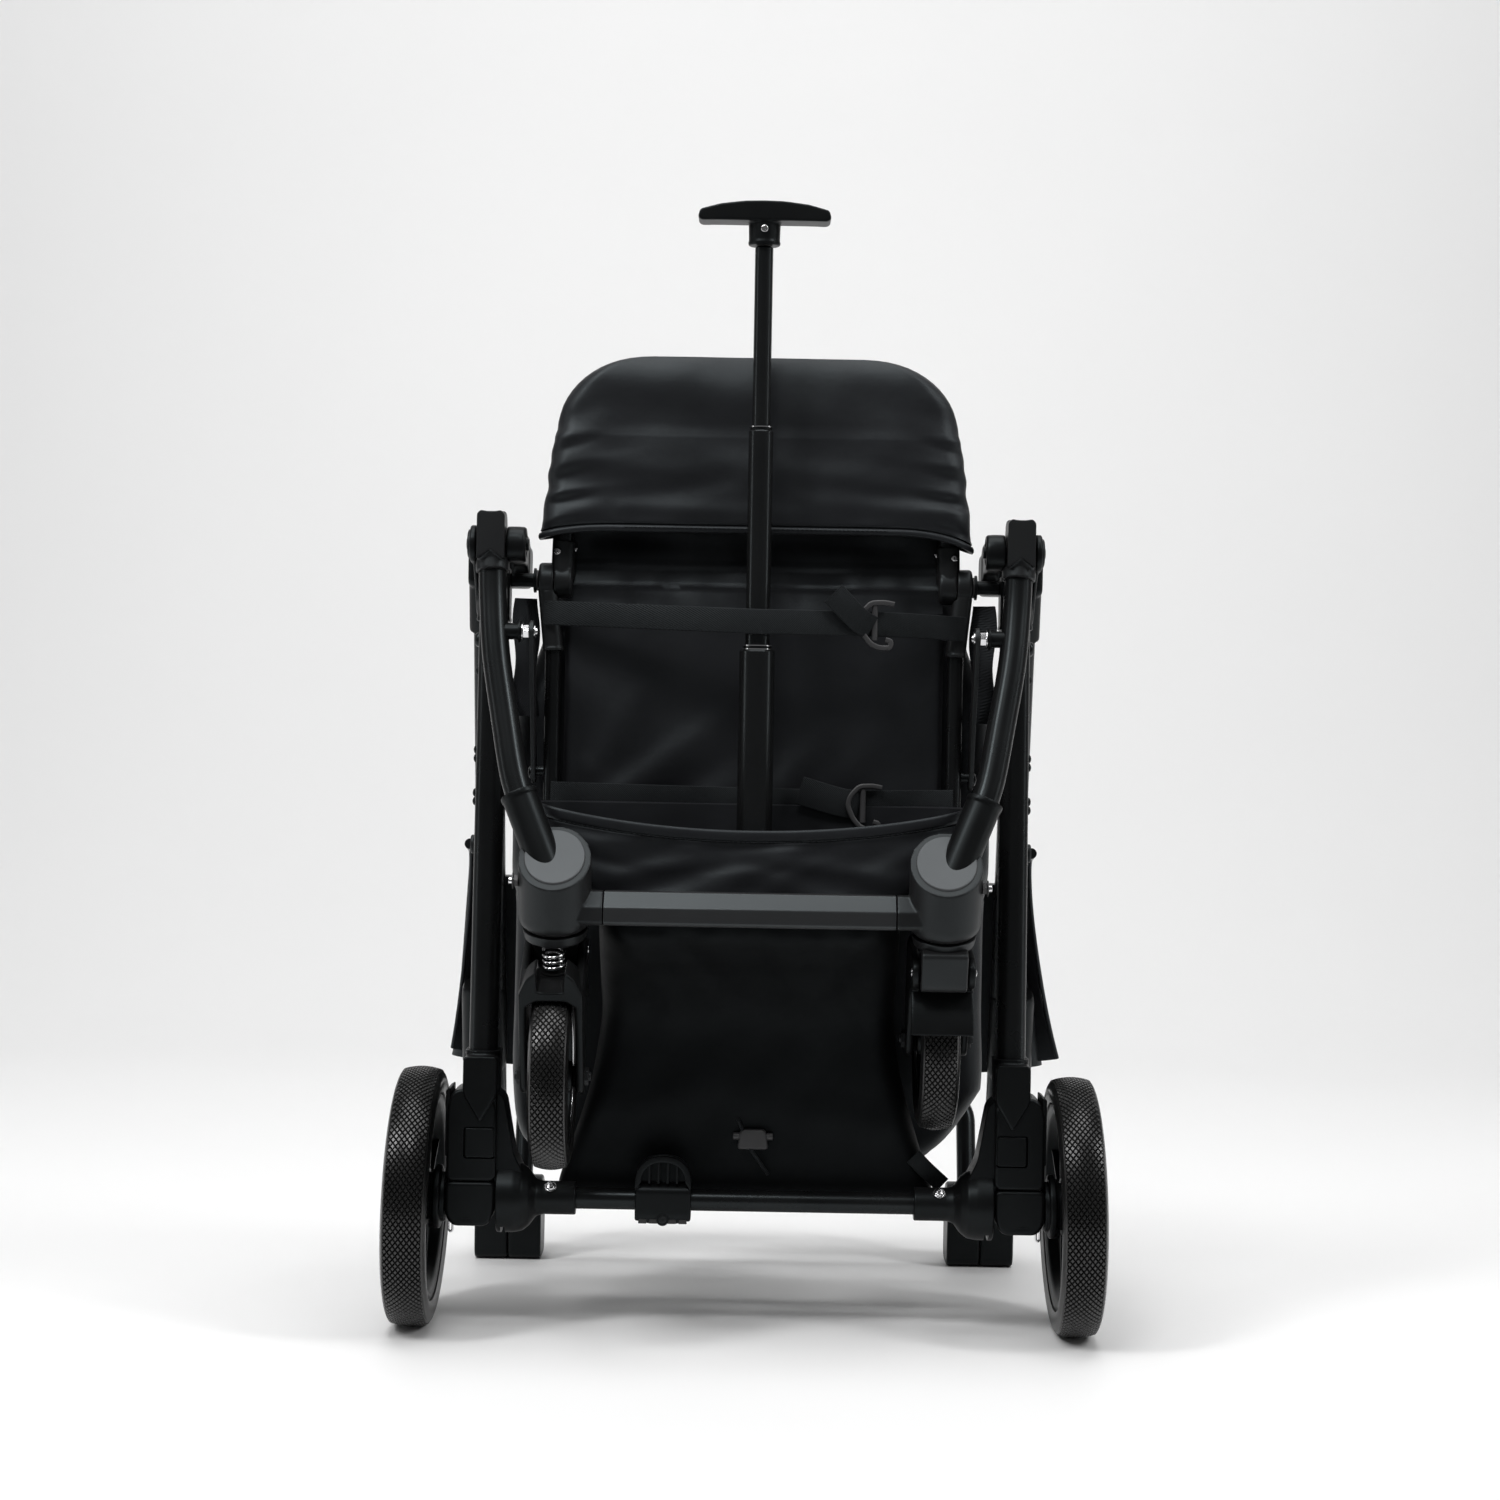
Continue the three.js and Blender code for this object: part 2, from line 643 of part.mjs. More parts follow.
// Bow tube of the front panel, with the inner ratchet drums at its two ends.
function frontBow() {
  const r = seatDrumRadius;
  const edge = seatDrumSeam - gap;
  const drum = turnedX([[127.5, 0], [127.5, r - 2], [129, r], [edge, r], [edge, 0]], 18)
    .translate(0, seatPivotY, seatPivotZ);
  const room = pinX(40, seatDrumSeam - gap, 170, seatPivotY, seatPivotZ, 18);
  return cut(join(bowTube(bowRadius), drum, mirrored(drum)), room, mirrored(room));
}

// Fabric sleeve drawn over the bow.
function frontCover() {
  const half = { low: 151, high: 143 };
  const low = 556;
  const top = 677.5;
  const corner = 56;
  const middle = half.high - corner;
  const shape = new THREE.Shape();
  shape.moveTo(-half.low, low);
  shape.lineTo(half.low, low);
  shape.lineTo(half.high, top - corner);
  shape.absarc(middle, top - corner, corner, 0, Math.PI / 2, false);
  shape.lineTo(-middle, top);
  shape.absarc(-middle, top - corner, corner, Math.PI / 2, Math.PI, false);
  shape.lineTo(-half.low, low);
  const sleeve = plateY(shape, -19, 14, 5);
  return cut(sleeve, bowTube(bowRadius + 0.5));
}

add('seat_frame_tube', seatFrameTube(), looks.tube);
addPair('seat_knuckle', seatKnuckle(), looks.plastic);
add('front_bow', frontBow(), looks.tube);
add('front_cover', frontCover(), looks.fabric);

// Flat bar from the seat tube up to the bolt on the front leg, with a rivet boss at its foot.
function linkBar() {
  const bar = plateX(outline([[-43, 484], [-39, 491], [-31, 492], [-26, 486], [12, 392], [12, 384], [6, 379],
    [-1, 380], [-4, 386]]), 151, 154.2, 0);
  const rivet = pinX(3.5, seatTubeX + seatTubeRadius + gap, 151.5, 3.5, 388, 10);
  return join(bar, rivet);
}

addPair('link_bar', linkBar(), looks.tube);

// ---------------------------------------------------------------- trolley rod
function rodStage({ radius, bore, low, high }) {
  const lip = 1.1;
  const profile = bore > 0
    ? [[low, bore], [low, radius], [high - 5, radius], [high - 4.5, radius + lip], [high, radius + lip],
      [high, bore], [low, bore]]
    : [[low, 0], [low, radius], [high, radius], [high, 0]];
  return turnedZ(profile).translate(rodX, rodY, 0);
}

// Lug that holds the outer tube to the cross run of the seat frame.
function rodLug() {
  return box(rodX - 8, rodX + 8, rodY + 10.5, -seatTubeRadius - gap, 288, 312);
}

const [outerStage, middleStage, innerStage] = rodStages;
add(outerStage.name, join(rodStage(outerStage), rodLug()), looks.rod);
add(middleStage.name, rodStage(middleStage), looks.rod);
add(innerStage.name, rodStage(innerStage), looks.rod);

function trolleyGrip() {
  const boss = turnedZ([[749.3, 0], [749.3, 10.5], [751, 11], [766, 11], [766, 0]]);
  const bar = plateY(outline([[-46, 767], [-43, 764.6], [43, 764.6], [46, 767], [46, 770],
    [42, 774], [22, 778], [0, 779], [-22, 778], [-42, 774], [-46, 770]]), -12, 12, 3);
  return join(bar, boss).translate(rodX, rodY, 0);
}

add('trolley_grip', trolleyGrip(), looks.plastic);

// ---------------------------------------------------------------- soft goods on the seat frame
function cabinBody() {
  const bag = loft([
    { z: 112, half: 132, y0: 72, y1: 112, radius: 18 },
    { z: 150, half: 150, y0: 64, y1: 122, radius: 20 },
    { z: 288, half: 164, y0: 64, y1: 126, radius: 20 },
    { z: 322, half: 164, y0: 18, y1: 124, radius: 20 },
    { z: 400, half: 162, y0: 18, y1: 115, radius: 20 },
    { z: 480, half: 150, y0: 14, y1: 104, radius: 20 },
    { z: 526, half: 134, y0: 30, y1: 84, radius: 18 },
  ]);
  const panel = box(-128, 128, -5, 40, 332, 503);
  return join(bag, panel);
}

// Shopping basket hung in front of the seat frame: an open bag with a thin wall.
function basket() {
  const wall = 3;
  const shell = (inset, top) => loft([
    { z: 101.5 + inset, half: 122 - inset, y0: 16 + inset, y1: 46 - inset, radius: 12 - inset },
    { z: 132, half: 112 - inset, y0: 12 + inset, y1: 56 - inset, radius: 15 - inset },
    { z: 215, half: 97 - inset, y0: inset, y1: 58 - inset, radius: 18 - inset },
    { z: 258, half: 97 - inset, y0: -36 + inset, y1: 44 - inset, radius: 24 - inset },
    { z: 276, half: 97 - inset, y0: -58 + inset, y1: 6 - inset, radius: 26 - inset },
    { z: 288, half: 100 - inset, y0: -60 + inset, y1: -9.5 - inset, radius: 24 - inset },
    { z: 313, half: 126 - inset, y0: -57 + inset, y1: -9.5 - inset, radius: 23.5 - inset },
    { z: 332, half: 147 - inset, y0: -56 + inset, y1: -9.5 - inset, radius: 23 - inset },
    { z: top, half: 148 - inset, y0: -56 + inset, y1: -9.5 - inset, radius: 23 - inset },
  ]);
  return cut(shell(0, 368), shell(wall, 372), box(-30, 40, -25, -5, 280, 330));
}

// Webbing that runs between the seat tubes, round the front of the trolley rod.
function upperStrap() {
  const thick = 2;
  const width = 17.5;
  const low = 484.5;
  const front = rodY - 11.2;
  const edge = -seatTubeRadius - 1;
  const line = [[146, edge], [rodX + 24, front], [rodX - 24, front], [-146, edge]];
  const shape = outline([...line, ...line.map(([x, y]) => [x, y - thick]).reverse()]);
  return plate(shape, width, 0, 1).translate(0, 0, low);
}

add('cabin_body', cabinBody(), looks.fabric);
add('basket', basket(), looks.fabric);
add('upper_strap', upperStrap(), looks.webbing);

// ---------------------------------------------------------------- push handle and hood
const handleRun = { y: knuckle.y - handleTop.y, z: knuckle.z - handleTop.z };
const onHandle = (z) => handleTop.y + handleRun.y * (z - handleTop.z) / handleRun.z;

// Place on the middle line of the handle tube at a height.
function handlePoint(z) {
  const share = (z - handleLow.z) / (handleTop.z - handleLow.z);
  return [handleLow.x + (handleTop.x - handleLow.x) * share, onHandle(z), z];
}

function handleTube() {
  return straightBar(circle(handleRadius, 12), handlePoint(handleLow.z), handlePoint(handleTop.z));
}

function handleTubeBore() {
  return straightBar(circle(handleRadius + 2 * gap, 12), handlePoint(handleLow.z - 1),
    handlePoint(handleTop.z + 1));
}

// Arm on the fold pin that carries the push handle round behind the rear leg.
function handleBracket() {
  const arm = plateX(outline([[-34, 538], [-34, 550], [-28, 556], [-18, 557], [44, 553], [58, 542],
    [58, 518], [34, 522], [30, 532], [4, 533], [-8, 533], [-22, 531]]), 160, 171.7, 1.2);
  const shoulder = plateX(roundedRect(30, 30, 8, 2), 160, 204, 2).translate(0, 48, 532);
  const cup = straightBar(circle(14, 14), handlePoint(488), handlePoint(520));
  return cut(join(arm, shoulder, cup), handleTubeBore(), foldBore());
}

function knuckleProfile() {
  const points = [[-22, -32], [-19, -38], [-14, -40], [14, -40], [19, -38], [22, -32]];
  const steps = 8;
  for (let i = 0; i <= steps; i += 1) {
    const angle = 0.1 + (Math.PI - 0.2) * i / steps;
    points.push([24 * Math.cos(angle), 24 * Math.sin(angle)]);
  }
  return outline(points);
}

// Outer half of the knuckle, on the handle tube; the stroller stands on its flat foot.
function handleKnuckle() {
  const half = plateX(knuckleProfile(), knuckle.seam + gap, knuckle.outer, 2)
    .translate(0, knuckle.y, knuckle.z);
  const cup = straightBar(circle(14, 14), handlePoint(50), handlePoint(98));
  return cut(join(half, common(cup, box(knuckle.seam + gap, 220, 180, 300, 40, 110))), handleTubeBore());
}

const gripTop = { y: 300, z: 124 };

function gripBow() {
  const half = plateX(knuckleProfile(), knuckle.inner, knuckle.seam - gap, 2)
    .translate(0, knuckle.y, knuckle.z);
  const armX = (knuckle.inner + knuckle.seam) / 2;
  const tube = bentTube([[armX, knuckle.y + 6, knuckle.z + 8], [armX, gripTop.y, gripTop.z],
    [-armX, gripTop.y, gripTop.z], [-armX, knuckle.y + 6, knuckle.z + 8]], 30, 9, 10, 4);
  return join(half, mirrored(half), tube);
}

// Hood folded up behind the handle tubes.
const hoodStart = onHandle(305) + handleRadius + 4;
const hoodEnd = onHandle(156) + handleRadius + 4;

function hoodCover() {
  return loft([
    { z: 156, half: 232, y0: hoodEnd, y1: hoodEnd + 26, radius: 11 },
    { z: 230, half: 224, y0: (hoodStart + hoodEnd) / 2, y1: (hoodStart + hoodEnd) / 2 + 28, radius: 12 },
    { z: 305, half: 211, y0: hoodStart, y1: hoodStart + 22, radius: 10 },
  ]);
}

function hoodBow() {
  const radius = 4;
  const half = [[209.6, hoodPivot.y + 3, hoodPivot.z], [210.5, hoodStart + 32, 322],
    [226, hoodEnd + 36, 168]];
  const otherHalf = half.map(([x, y, z]) => [-x, y, z]).reverse();
  const tube = bentTube([...half, ...otherHalf], 24, radius, 8, 4);
  const disc = pinX(11, 205.6, 210, hoodPivot.y, hoodPivot.z, 16);
  return join(tube, disc, mirrored(disc));
}

addPair('handle_tube', handleTube(), looks.tube);
addPair('handle_bracket', handleBracket(), looks.plastic);
addPair('handle_knuckle', handleKnuckle(), looks.plastic);
add('grip_bow', gripBow(), looks.tube);
add('hood_cover', hoodCover(), looks.fabric);
add('hood_bow', hoodBow(), looks.tube);

export default stroller;
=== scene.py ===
"""Visual model of a folding pet stroller, standing folded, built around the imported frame.

Shapes are made in millimetres, with Y counted from the rear wheel axis and X to the stroller's
right, and piece() turns them into metres in the frame. Most pieces come in mirrored pairs, whose
names, bodies and nodes are written with {side}.
"""
import math

import bmesh
import bpy
import numpy as np
from mathutils import Matrix, Vector


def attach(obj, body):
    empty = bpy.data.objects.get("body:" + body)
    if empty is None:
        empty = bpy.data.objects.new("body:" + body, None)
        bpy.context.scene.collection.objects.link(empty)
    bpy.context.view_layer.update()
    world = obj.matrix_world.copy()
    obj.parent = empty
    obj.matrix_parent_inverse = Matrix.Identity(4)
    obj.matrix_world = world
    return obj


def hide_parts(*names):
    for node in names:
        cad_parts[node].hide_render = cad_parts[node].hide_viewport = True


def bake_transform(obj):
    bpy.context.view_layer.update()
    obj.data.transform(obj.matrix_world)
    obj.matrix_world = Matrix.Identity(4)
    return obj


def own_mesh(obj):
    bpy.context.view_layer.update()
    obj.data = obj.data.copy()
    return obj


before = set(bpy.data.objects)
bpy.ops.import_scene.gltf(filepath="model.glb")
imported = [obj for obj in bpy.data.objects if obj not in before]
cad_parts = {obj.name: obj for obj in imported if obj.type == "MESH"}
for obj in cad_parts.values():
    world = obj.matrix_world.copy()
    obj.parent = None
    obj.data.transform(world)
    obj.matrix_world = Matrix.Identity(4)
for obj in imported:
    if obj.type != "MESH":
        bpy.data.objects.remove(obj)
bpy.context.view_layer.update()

MM = 0.001
STANCE_SHIFT = -88.9  # from the rear wheel axis to the middle of the folded stroller
TAU = 2 * math.pi

# ------------------------------------------------------------------ driving dimensions, mm
REAR_WHEEL_RADIUS = 90
REAR_WHEEL_X = 229
CAMBER = math.radians(1.4)
LEG_LOW = (184.5, 2, 108)
LEG_HIGH = (182, 8, 524)
FOLD_Y, FOLD_Z = -22, 544
SEAT_Y, SEAT_Z = 6, 521
CASTER = Vector((131, -80, 313))
CASTER_TILT = math.radians(20)
CAP_TILT = math.radians(48)
CAP_POINT = Vector((131, -86.8, 331.6))
CASTER_TRAIL = 33
FRONT_WHEEL_RADIUS = 63
FRONT_WHEEL_DROP = 125.6
FORK_PIN_Y, FORK_PIN_Z = 14, -53
SEAT_TUBE_X = 140.3
SEAT_DRUM_SEAM = 140.5
ROD_X, ROD_Y = 2, -40
CROSSBAR_Z = 298.5
HANDLE_LOW_X, HANDLE_LOW_Z = 198, 72
HANDLE_TOP = (190.5, 50, 522)
KNUCKLE_Y, KNUCKLE_Z = 262, 40
CROSSBAR_SECTION = [(-9, -11.4), (8, -11.4), (12, -8), (12, 8), (8, 11.4), (-4, 11.4), (-12, 0.7), (-12, -9)]
HOOD_PIVOT = (136, 330)
LINK_BOLT = (0, -35, 484)
FOLD_AXIS = (0, FOLD_Y, FOLD_Z)
SEAT_AXIS = (0, SEAT_Y, SEAT_Z)
KNUCKLE_AXIS = (0, KNUCKLE_Y, KNUCKLE_Z)
BRAKE_X = -57
SIDES = (("right", 1), ("left", -1))
OUT, IN, FORWARD = (1, 0, 0), (-1, 0, 0), (0, -1, 0)


# ------------------------------------------------------------------ shapes: (vertices, faces)
def shape(verts, faces):
    return np.asarray(verts, float).reshape(-1, 3), [tuple(f) for f in faces]


def joined(*shapes):
    verts, faces, base = [], [], 0
    for v, f in shapes:
        verts.append(v)
        faces += [tuple(i + base for i in face) for face in f]
        base += len(v)
    return np.vstack(verts), faces


def moved(s, x=0.0, y=0.0, z=0.0):
    return s[0] + np.array([x, y, z], float), s[1]


def placed(s, matrix):
    m = np.array(matrix)
    return s[0] @ m[:3, :3].T + m[:3, 3], s[1]


def mirrored(s):
    return s[0] * [-1, 1, 1], [f[::-1] for f in s[1]]


def columns_of(points):
    """Copies of the X, Y and Z columns."""
    return [points[:, k].copy() for k in range(3)]


def both_halves(half):
    """The points and then their mirror images, in the order that goes round."""
    return [*half, *[(-x, *rest) for x, *rest in half[::-1]]]


def unit(values):
    """The values held between 0 and 1."""
    return np.clip(values, 0, 1)


def bell(values, width):
    """1 where the values are 0, fading out over the width."""
    return np.exp(-((values / width) ** 2))


def filleted(points, radius, steps=4, closed=False):
    """The line with each corner rounded; radius is how far from the corner the curve starts."""
    pts = [np.asarray(p, float) for p in points]
    n = len(pts)
    out = []
    for i, p in enumerate(pts):
        if not closed and i in (0, n - 1):
            out.append(p)
            continue
        a, b = pts[i - 1] - p, pts[(i + 1) % n] - p
        la, lb = np.linalg.norm(a), np.linalg.norm(b)
        r = min(radius, 0.49 * la, 0.49 * lb)
        start, end = p + a / la * r, p + b / lb * r
        for k in range(steps + 1):
            t = k / steps
            out.append(start * (1 - t) ** 2 + p * 2 * t * (1 - t) + end * t * t)
    return [tuple(p) for p in out]


def spread(points, step):
    """The same line with points no further apart than step."""
    out = [np.asarray(points[0], float)]
    for p in points[1:]:
        p = np.asarray(p, float)
        count = max(1, int(math.ceil(np.linalg.norm(p - out[-1]) / step)))
        start = out[-1]
        out += [start + (p - start) * (k + 1) / count for k in range(count)]
    return [tuple(p) for p in out]


def smooth_line(points, per_span=10):
    """Catmull-Rom line through the points."""
    p = [np.asarray(q, float) for q in points]
    p = [2 * p[0] - p[1], *p, 2 * p[-1] - p[-2]]
    out = []
    for i in range(1, len(p) - 2):
        for k in range(per_span):
            t = k / per_span
            m0, m1 = (p[i + 1] - p[i - 1]) / 2, (p[i + 2] - p[i]) / 2
            out.append(
                (2 * t**3 - 3 * t**2 + 1) * p[i] + (t**3 - 2 * t**2 + t) * m0
                + (3 * t**2 - 2 * t**3) * p[i + 1] + (t**3 - t**2) * m1
            )
    out.append(p[-2])
    return [tuple(q) for q in out]


def lathe(profile, axis="Z", segments=96):
    """Turned piece. profile is (place along the axis, radius), from axis to axis or closed on itself."""
    loop = tuple(profile[0]) == tuple(profile[-1])
    points = profile[:-1] if loop else profile
    angles = [TAU * i / segments for i in range(segments)]
    verts, rows, faces = [], [], []
    for along, radius in points:
        if radius < 1e-6:
            rows.append([len(verts)])
            verts.append((0, 0, along))
        else:
            rows.append(range(len(verts), len(verts) + segments))
            verts += [(radius * math.cos(a), radius * math.sin(a), along) for a in angles]
    pairs = list(zip(rows, rows[1:])) + ([(rows[-1], rows[0])] if loop else [])
    for a, b in pairs:
        for i in range(segments):
            j = (i + 1) % segments
            if len(a) == len(b) == 1:
                continue
            if len(a) == 1:
                faces.append((a[0], b[j], b[i]))
            elif len(b) == 1:
                faces.append((a[i], a[j], b[0]))
            else:
                faces.append((a[i], a[j], b[j], b[i]))
    v, f = shape(verts, faces)
    order = {"Z": [0, 1, 2], "X": [2, 0, 1], "Y": [1, 2, 0]}[axis]
    return v[:, order], f


def turned(profile, corner, steps=3, segments=96, axis="X"):
    """Turned piece with the corners of its profile rounded."""
    return lathe(filleted(profile, corner, steps), axis, segments)


def pin(radius, low, high, axis="X", ease=0.6, segments=48):
    """Round pin with its rims eased."""
    profile = [(low, 0), (low, radius), (high, radius), (high, 0)]
    return lathe(filleted(profile, ease, 3), axis, segments)


def skin(rows):
    """Surface through rings of equal length, closed at both ends."""
    n, m = len(rows), len(rows[0])
    faces = [(k * m + j, k * m + (j + 1) % m, (k + 1) * m + (j + 1) % m, (k + 1) * m + j)
             for k in range(n - 1) for j in range(m)]
    faces += [tuple(range(m))[::-1], tuple(range((n - 1) * m, n * m))]
    return shape([point for row in rows for point in row], faces)


def rounded_rect(width, height, radius, steps=6):
    w, h = width / 2 - radius, height / 2 - radius
    corners = [(w, h, 0), (-w, h, 1), (-w, -h, 2), (w, -h, 3)]
    turns = [(x, y, (q + i / steps) * TAU / 4) for x, y, q in corners for i in range(steps + 1)]
    return [(x + radius * math.cos(a), y + radius * math.sin(a)) for x, y, a in turns]


def circle(radius, sides=36):
    return [(radius * math.cos(TAU * i / sides), radius * math.sin(TAU * i / sides)) for i in range(sides)]


def sweep(section, path, across=(0, 1, 0), scale=None):
    """Carries a section along a path and closes the ends. across is the section's first direction."""
    pts = np.array(path, float)
    n, m = len(pts), len(section)
    side = np.array(across, float)
    sec = np.array(section, float)
    verts = []
    for i in range(n):
        along = pts[min(i + 1, n - 1)] - pts[max(i - 1, 0)]
        along /= np.linalg.norm(along)
        side = side - along * (side @ along)
        side /= np.linalg.norm(side)
        other = np.cross(along, side)
        s = sec * (scale[i] if scale is not None else 1.0)
        verts.append(pts[i] + np.outer(s[:, 0], side) + np.outer(s[:, 1], other))
    return skin(verts)


def bar(section, low, high, across=(1, 0, 0)):
    return sweep(section, [low, high], across)


def tube(path, radius, sides=36, across=(0, 1, 0)):
    return sweep(circle(radius, sides), path, across)


def prism(outline, axis, low, high):
    """Outline in the two other directions, in the order X, Y, Z, between two planes square to the axis."""
    n = len(outline)
    place = {"X": lambda a, b, c: (c, a, b), "Y": lambda a, b, c: (a, c, b),
             "Z": lambda a, b, c: (a, b, c)}[axis]
    verts = [place(a, b, c) for c in (low, high) for a, b in outline]
    faces = [(i, (i + 1) % n, n + (i + 1) % n, n + i) for i in range(n)]
    return shape(verts, faces + [tuple(range(n))[::-1], tuple(range(n, 2 * n))])


def block(x0, x1, y0, y1, z0, z1):
    return prism([(x0, y0), (x1, y0), (x1, y1), (x0, y1)], "Z", z0, z1)


def eased(s, reach, angle=50, segments=3):
    """The shape with each edge sharper than the angle rounded off."""
    bm = to_bmesh(s)
    rims = [e for e in bm.edges if e.calc_face_angle(0) > math.radians(angle)]
    bmesh.ops.bevel(bm, geom=rims, offset=reach, segments=segments, profile=0.5, affect="EDGES",
                    clamp_overlap=True)
    return from_bmesh(bm)


def plate(outline, axis, low, high, ease=2.0, corner=1.0, steps=3):
    """Prism with the outline's corners rounded by corner and the rims of both faces eased."""
    s = prism(filleted(outline, corner, steps, closed=True), axis, low, high)
    return eased(s, ease) if ease else s


def to_bmesh(s):
    bm = bmesh.new()
    verts = [bm.verts.new(v) for v in s[0]]
    for f in s[1]:
        try:
            bm.faces.new([verts[i] for i in f])
        except ValueError:
            pass
    bmesh.ops.recalc_face_normals(bm, faces=bm.faces)
    return bm


def from_bmesh(bm):
    bm.verts.index_update()
    s = shape([v.co for v in bm.verts], [[v.index for v in f.verts] for f in bm.faces])
    bm.free()
    return s


def plane_cut(s, point, normal):
    """What is behind the plane, closed where it was cut."""
    bm = to_bmesh(s)
    geometry = [*bm.verts, *bm.edges, *bm.faces]
    made = bmesh.ops.bisect_plane(bm, geom=geometry, plane_co=point, plane_no=normal, clear_outer=True)
    edges = [e for e in made["geom_cut"] if isinstance(e, bmesh.types.BMEdge)]
    bmesh.ops.contextual_create(bm, geom=edges)
    bmesh.ops.recalc_face_normals(bm, faces=bm.faces)
    return from_bmesh(bm)


# ------------------------------------------------------------------ objects
def to_mesh(name, s):
    mesh = bpy.data.meshes.new(name)
    mesh.from_pydata(((s[0] + [0, STANCE_SHIFT, 0]) * MM).tolist(), [], s[1])
    bm = bmesh.new()
    bm.from_mesh(mesh)
    bmesh.ops.recalc_face_normals(bm, faces=bm.faces)
    bm.to_mesh(mesh)
    bm.free()
    return mesh


def settled(mesh, *modifiers):
    """The mesh after these modifiers, each given as its type and its settings."""
    obj = bpy.data.objects.new("settling", mesh)
    bpy.context.scene.collection.objects.link(obj)
    for kind, settings in modifiers:
        modifier = obj.modifiers.new(kind, kind)
        for key, value in settings.items():
            setattr(modifier, key, value)
    bpy.context.view_layer.update()
    made = bpy.data.meshes.new_from_object(obj.evaluated_get(bpy.context.evaluated_depsgraph_get()))
    bpy.data.objects.remove(obj)
    return made


def carved(mesh, cutters, operation="DIFFERENCE"):
    """The mesh after each cutter is taken from it, or only what they share when asked to INTERSECT."""
    for cutter in cutters:
        knife = bpy.data.objects.new("knife", to_mesh("knife", cutter))
        bpy.context.scene.collection.objects.link(knife)
        mesh = settled(mesh, ("BOOLEAN", {"operation": operation, "object": knife, "solver": "EXACT"}))
        bpy.data.objects.remove(knife)
    return mesh


def moulding(s, voxel=0.9, rounds=5, cuts=()):
    """One moulded solid from overlapping ones, with its edges and inner corners softened, then cut."""
    size = {"mode": "VOXEL", "voxel_size": voxel * MM, "use_smooth_shade": True}
    soft = {"factor": 0.5, "iterations": rounds}
    return carved(settled(to_mesh("moulding", s), ("REMESH", size), ("SMOOTH", soft)), cuts)


def piece(name, s, look, body, nodes=(), sharp=38, even=True):
    """Puts a shape or a finished mesh on a body in place of CAD nodes.

    {side} in the name makes a right and a left one.
    """
    mesh = to_mesh(name, s) if isinstance(s, tuple) else s
    made = []
    for side, sign in SIDES if "{side}" in name else (("", 1),):
        data = mesh.copy() if "{side}" in name else mesh
        if sign < 0:
            data.transform(Matrix.Diagonal((-1, 1, 1, 1)))
            data.flip_normals()
        data.shade_smooth()
        data.set_sharp_from_angle(angle=math.radians(sharp))
        obj = bpy.data.objects.new(name.format(side=side), data)
        bpy.context.scene.collection.objects.link(obj)
        data.materials.clear()
        data.materials.append(look)
        if even:
            obj.modifiers.new("even", "WEIGHTED_NORMAL").keep_sharp = True
        if body:
            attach(obj, body.format(side=side))
        if nodes:
            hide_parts(*[n.format(side=side) for n in nodes])
        made.append(obj)
    return made[0] if len(made) == 1 else made


# ------------------------------------------------------------------ materials
COOL = (0.84, 0.96, 1.0, 1.0)  # tint of the gloss on black surfaces
NEUTRAL = (1.0, 1.0, 1.0, 1.0)


def add_node(tree, kind, inputs=None, **settings):
    """New node with its settings made and each input linked to a socket or set to a value."""
    node = tree.nodes.new(kind)
    for key, value in settings.items():
        setattr(node, key, value)
    for key, value in (inputs or {}).items():
        if isinstance(value, bpy.types.NodeSocket):
            tree.links.new(value, node.inputs[key])
        else:
            node.inputs[key].default_value = value
    return node


class Look:
    """Principled material with its pattern nodes wired in object space."""

    def __init__(self, name, roughness, metallic=0.0, **sockets):
        self.material = bpy.data.materials.new(name)
        self.material.use_nodes = True
        self.tree = self.material.node_tree
        self.shader = self.tree.nodes["Principled BSDF"]
        self.shader.inputs["Roughness"].default_value = roughness
        self.shader.inputs["Metallic"].default_value = metallic
        for key, value in sockets.items():
            self.shader.inputs[key.replace("_", " ")].default_value = value
        self.place = self.node("ShaderNodeTexCoord").outputs["Object"]
        self.normal = None

    def node(self, kind, inputs=None, **settings):
        return add_node(self.tree, kind, inputs, **settings)

    def noise(self, scale, detail=3.0):
        inputs = {"Vector": self.place, "Scale": scale, "Detail": detail}
        return self.node("ShaderNodeTexNoise", inputs).outputs["Fac"]

    def math(self, operation, a, b=0.0):
        return self.node("ShaderNodeMath", {0: a, 1: b}, operation=operation).outputs[0]

    def remap(self, value, low, high):
        """The value, from 0 to 1, spread between low and high."""
        inputs = {"Value": value, "To Min": low, "To Max": high}
        return self.node("ShaderNodeMapRange", inputs).outputs["Result"]

    def colour(self, factor, *stops):
        """Colour from a factor between 0 and 1; stops are (place, (r, g, b))."""
        ramp = self.node("ShaderNodeValToRGB", {"Fac": factor})
        elements = ramp.color_ramp.elements
        while len(elements) < len(stops):
            elements.new(0.5)
        for element, (place, rgb) in zip(elements, stops):
            element.position = place
            element.color = (*rgb, 1)
        self.tree.links.new(ramp.outputs["Color"], self.shader.inputs["Base Color"])

    def rough(self, value):
        self.tree.links.new(value, self.shader.inputs["Roughness"])

    def bump(self, height, distance, strength=1.0):
        inputs = {"Height": height, "Distance": distance * MM, "Strength": strength}
        if self.normal is not None:
            inputs["Normal"] = self.normal
        self.normal = self.node("ShaderNodeBump", inputs).outputs["Normal"]
        self.tree.links.new(self.normal, self.shader.inputs["Normal"])


def grey(value, blue=1.0):
    return (value, value, value * blue)


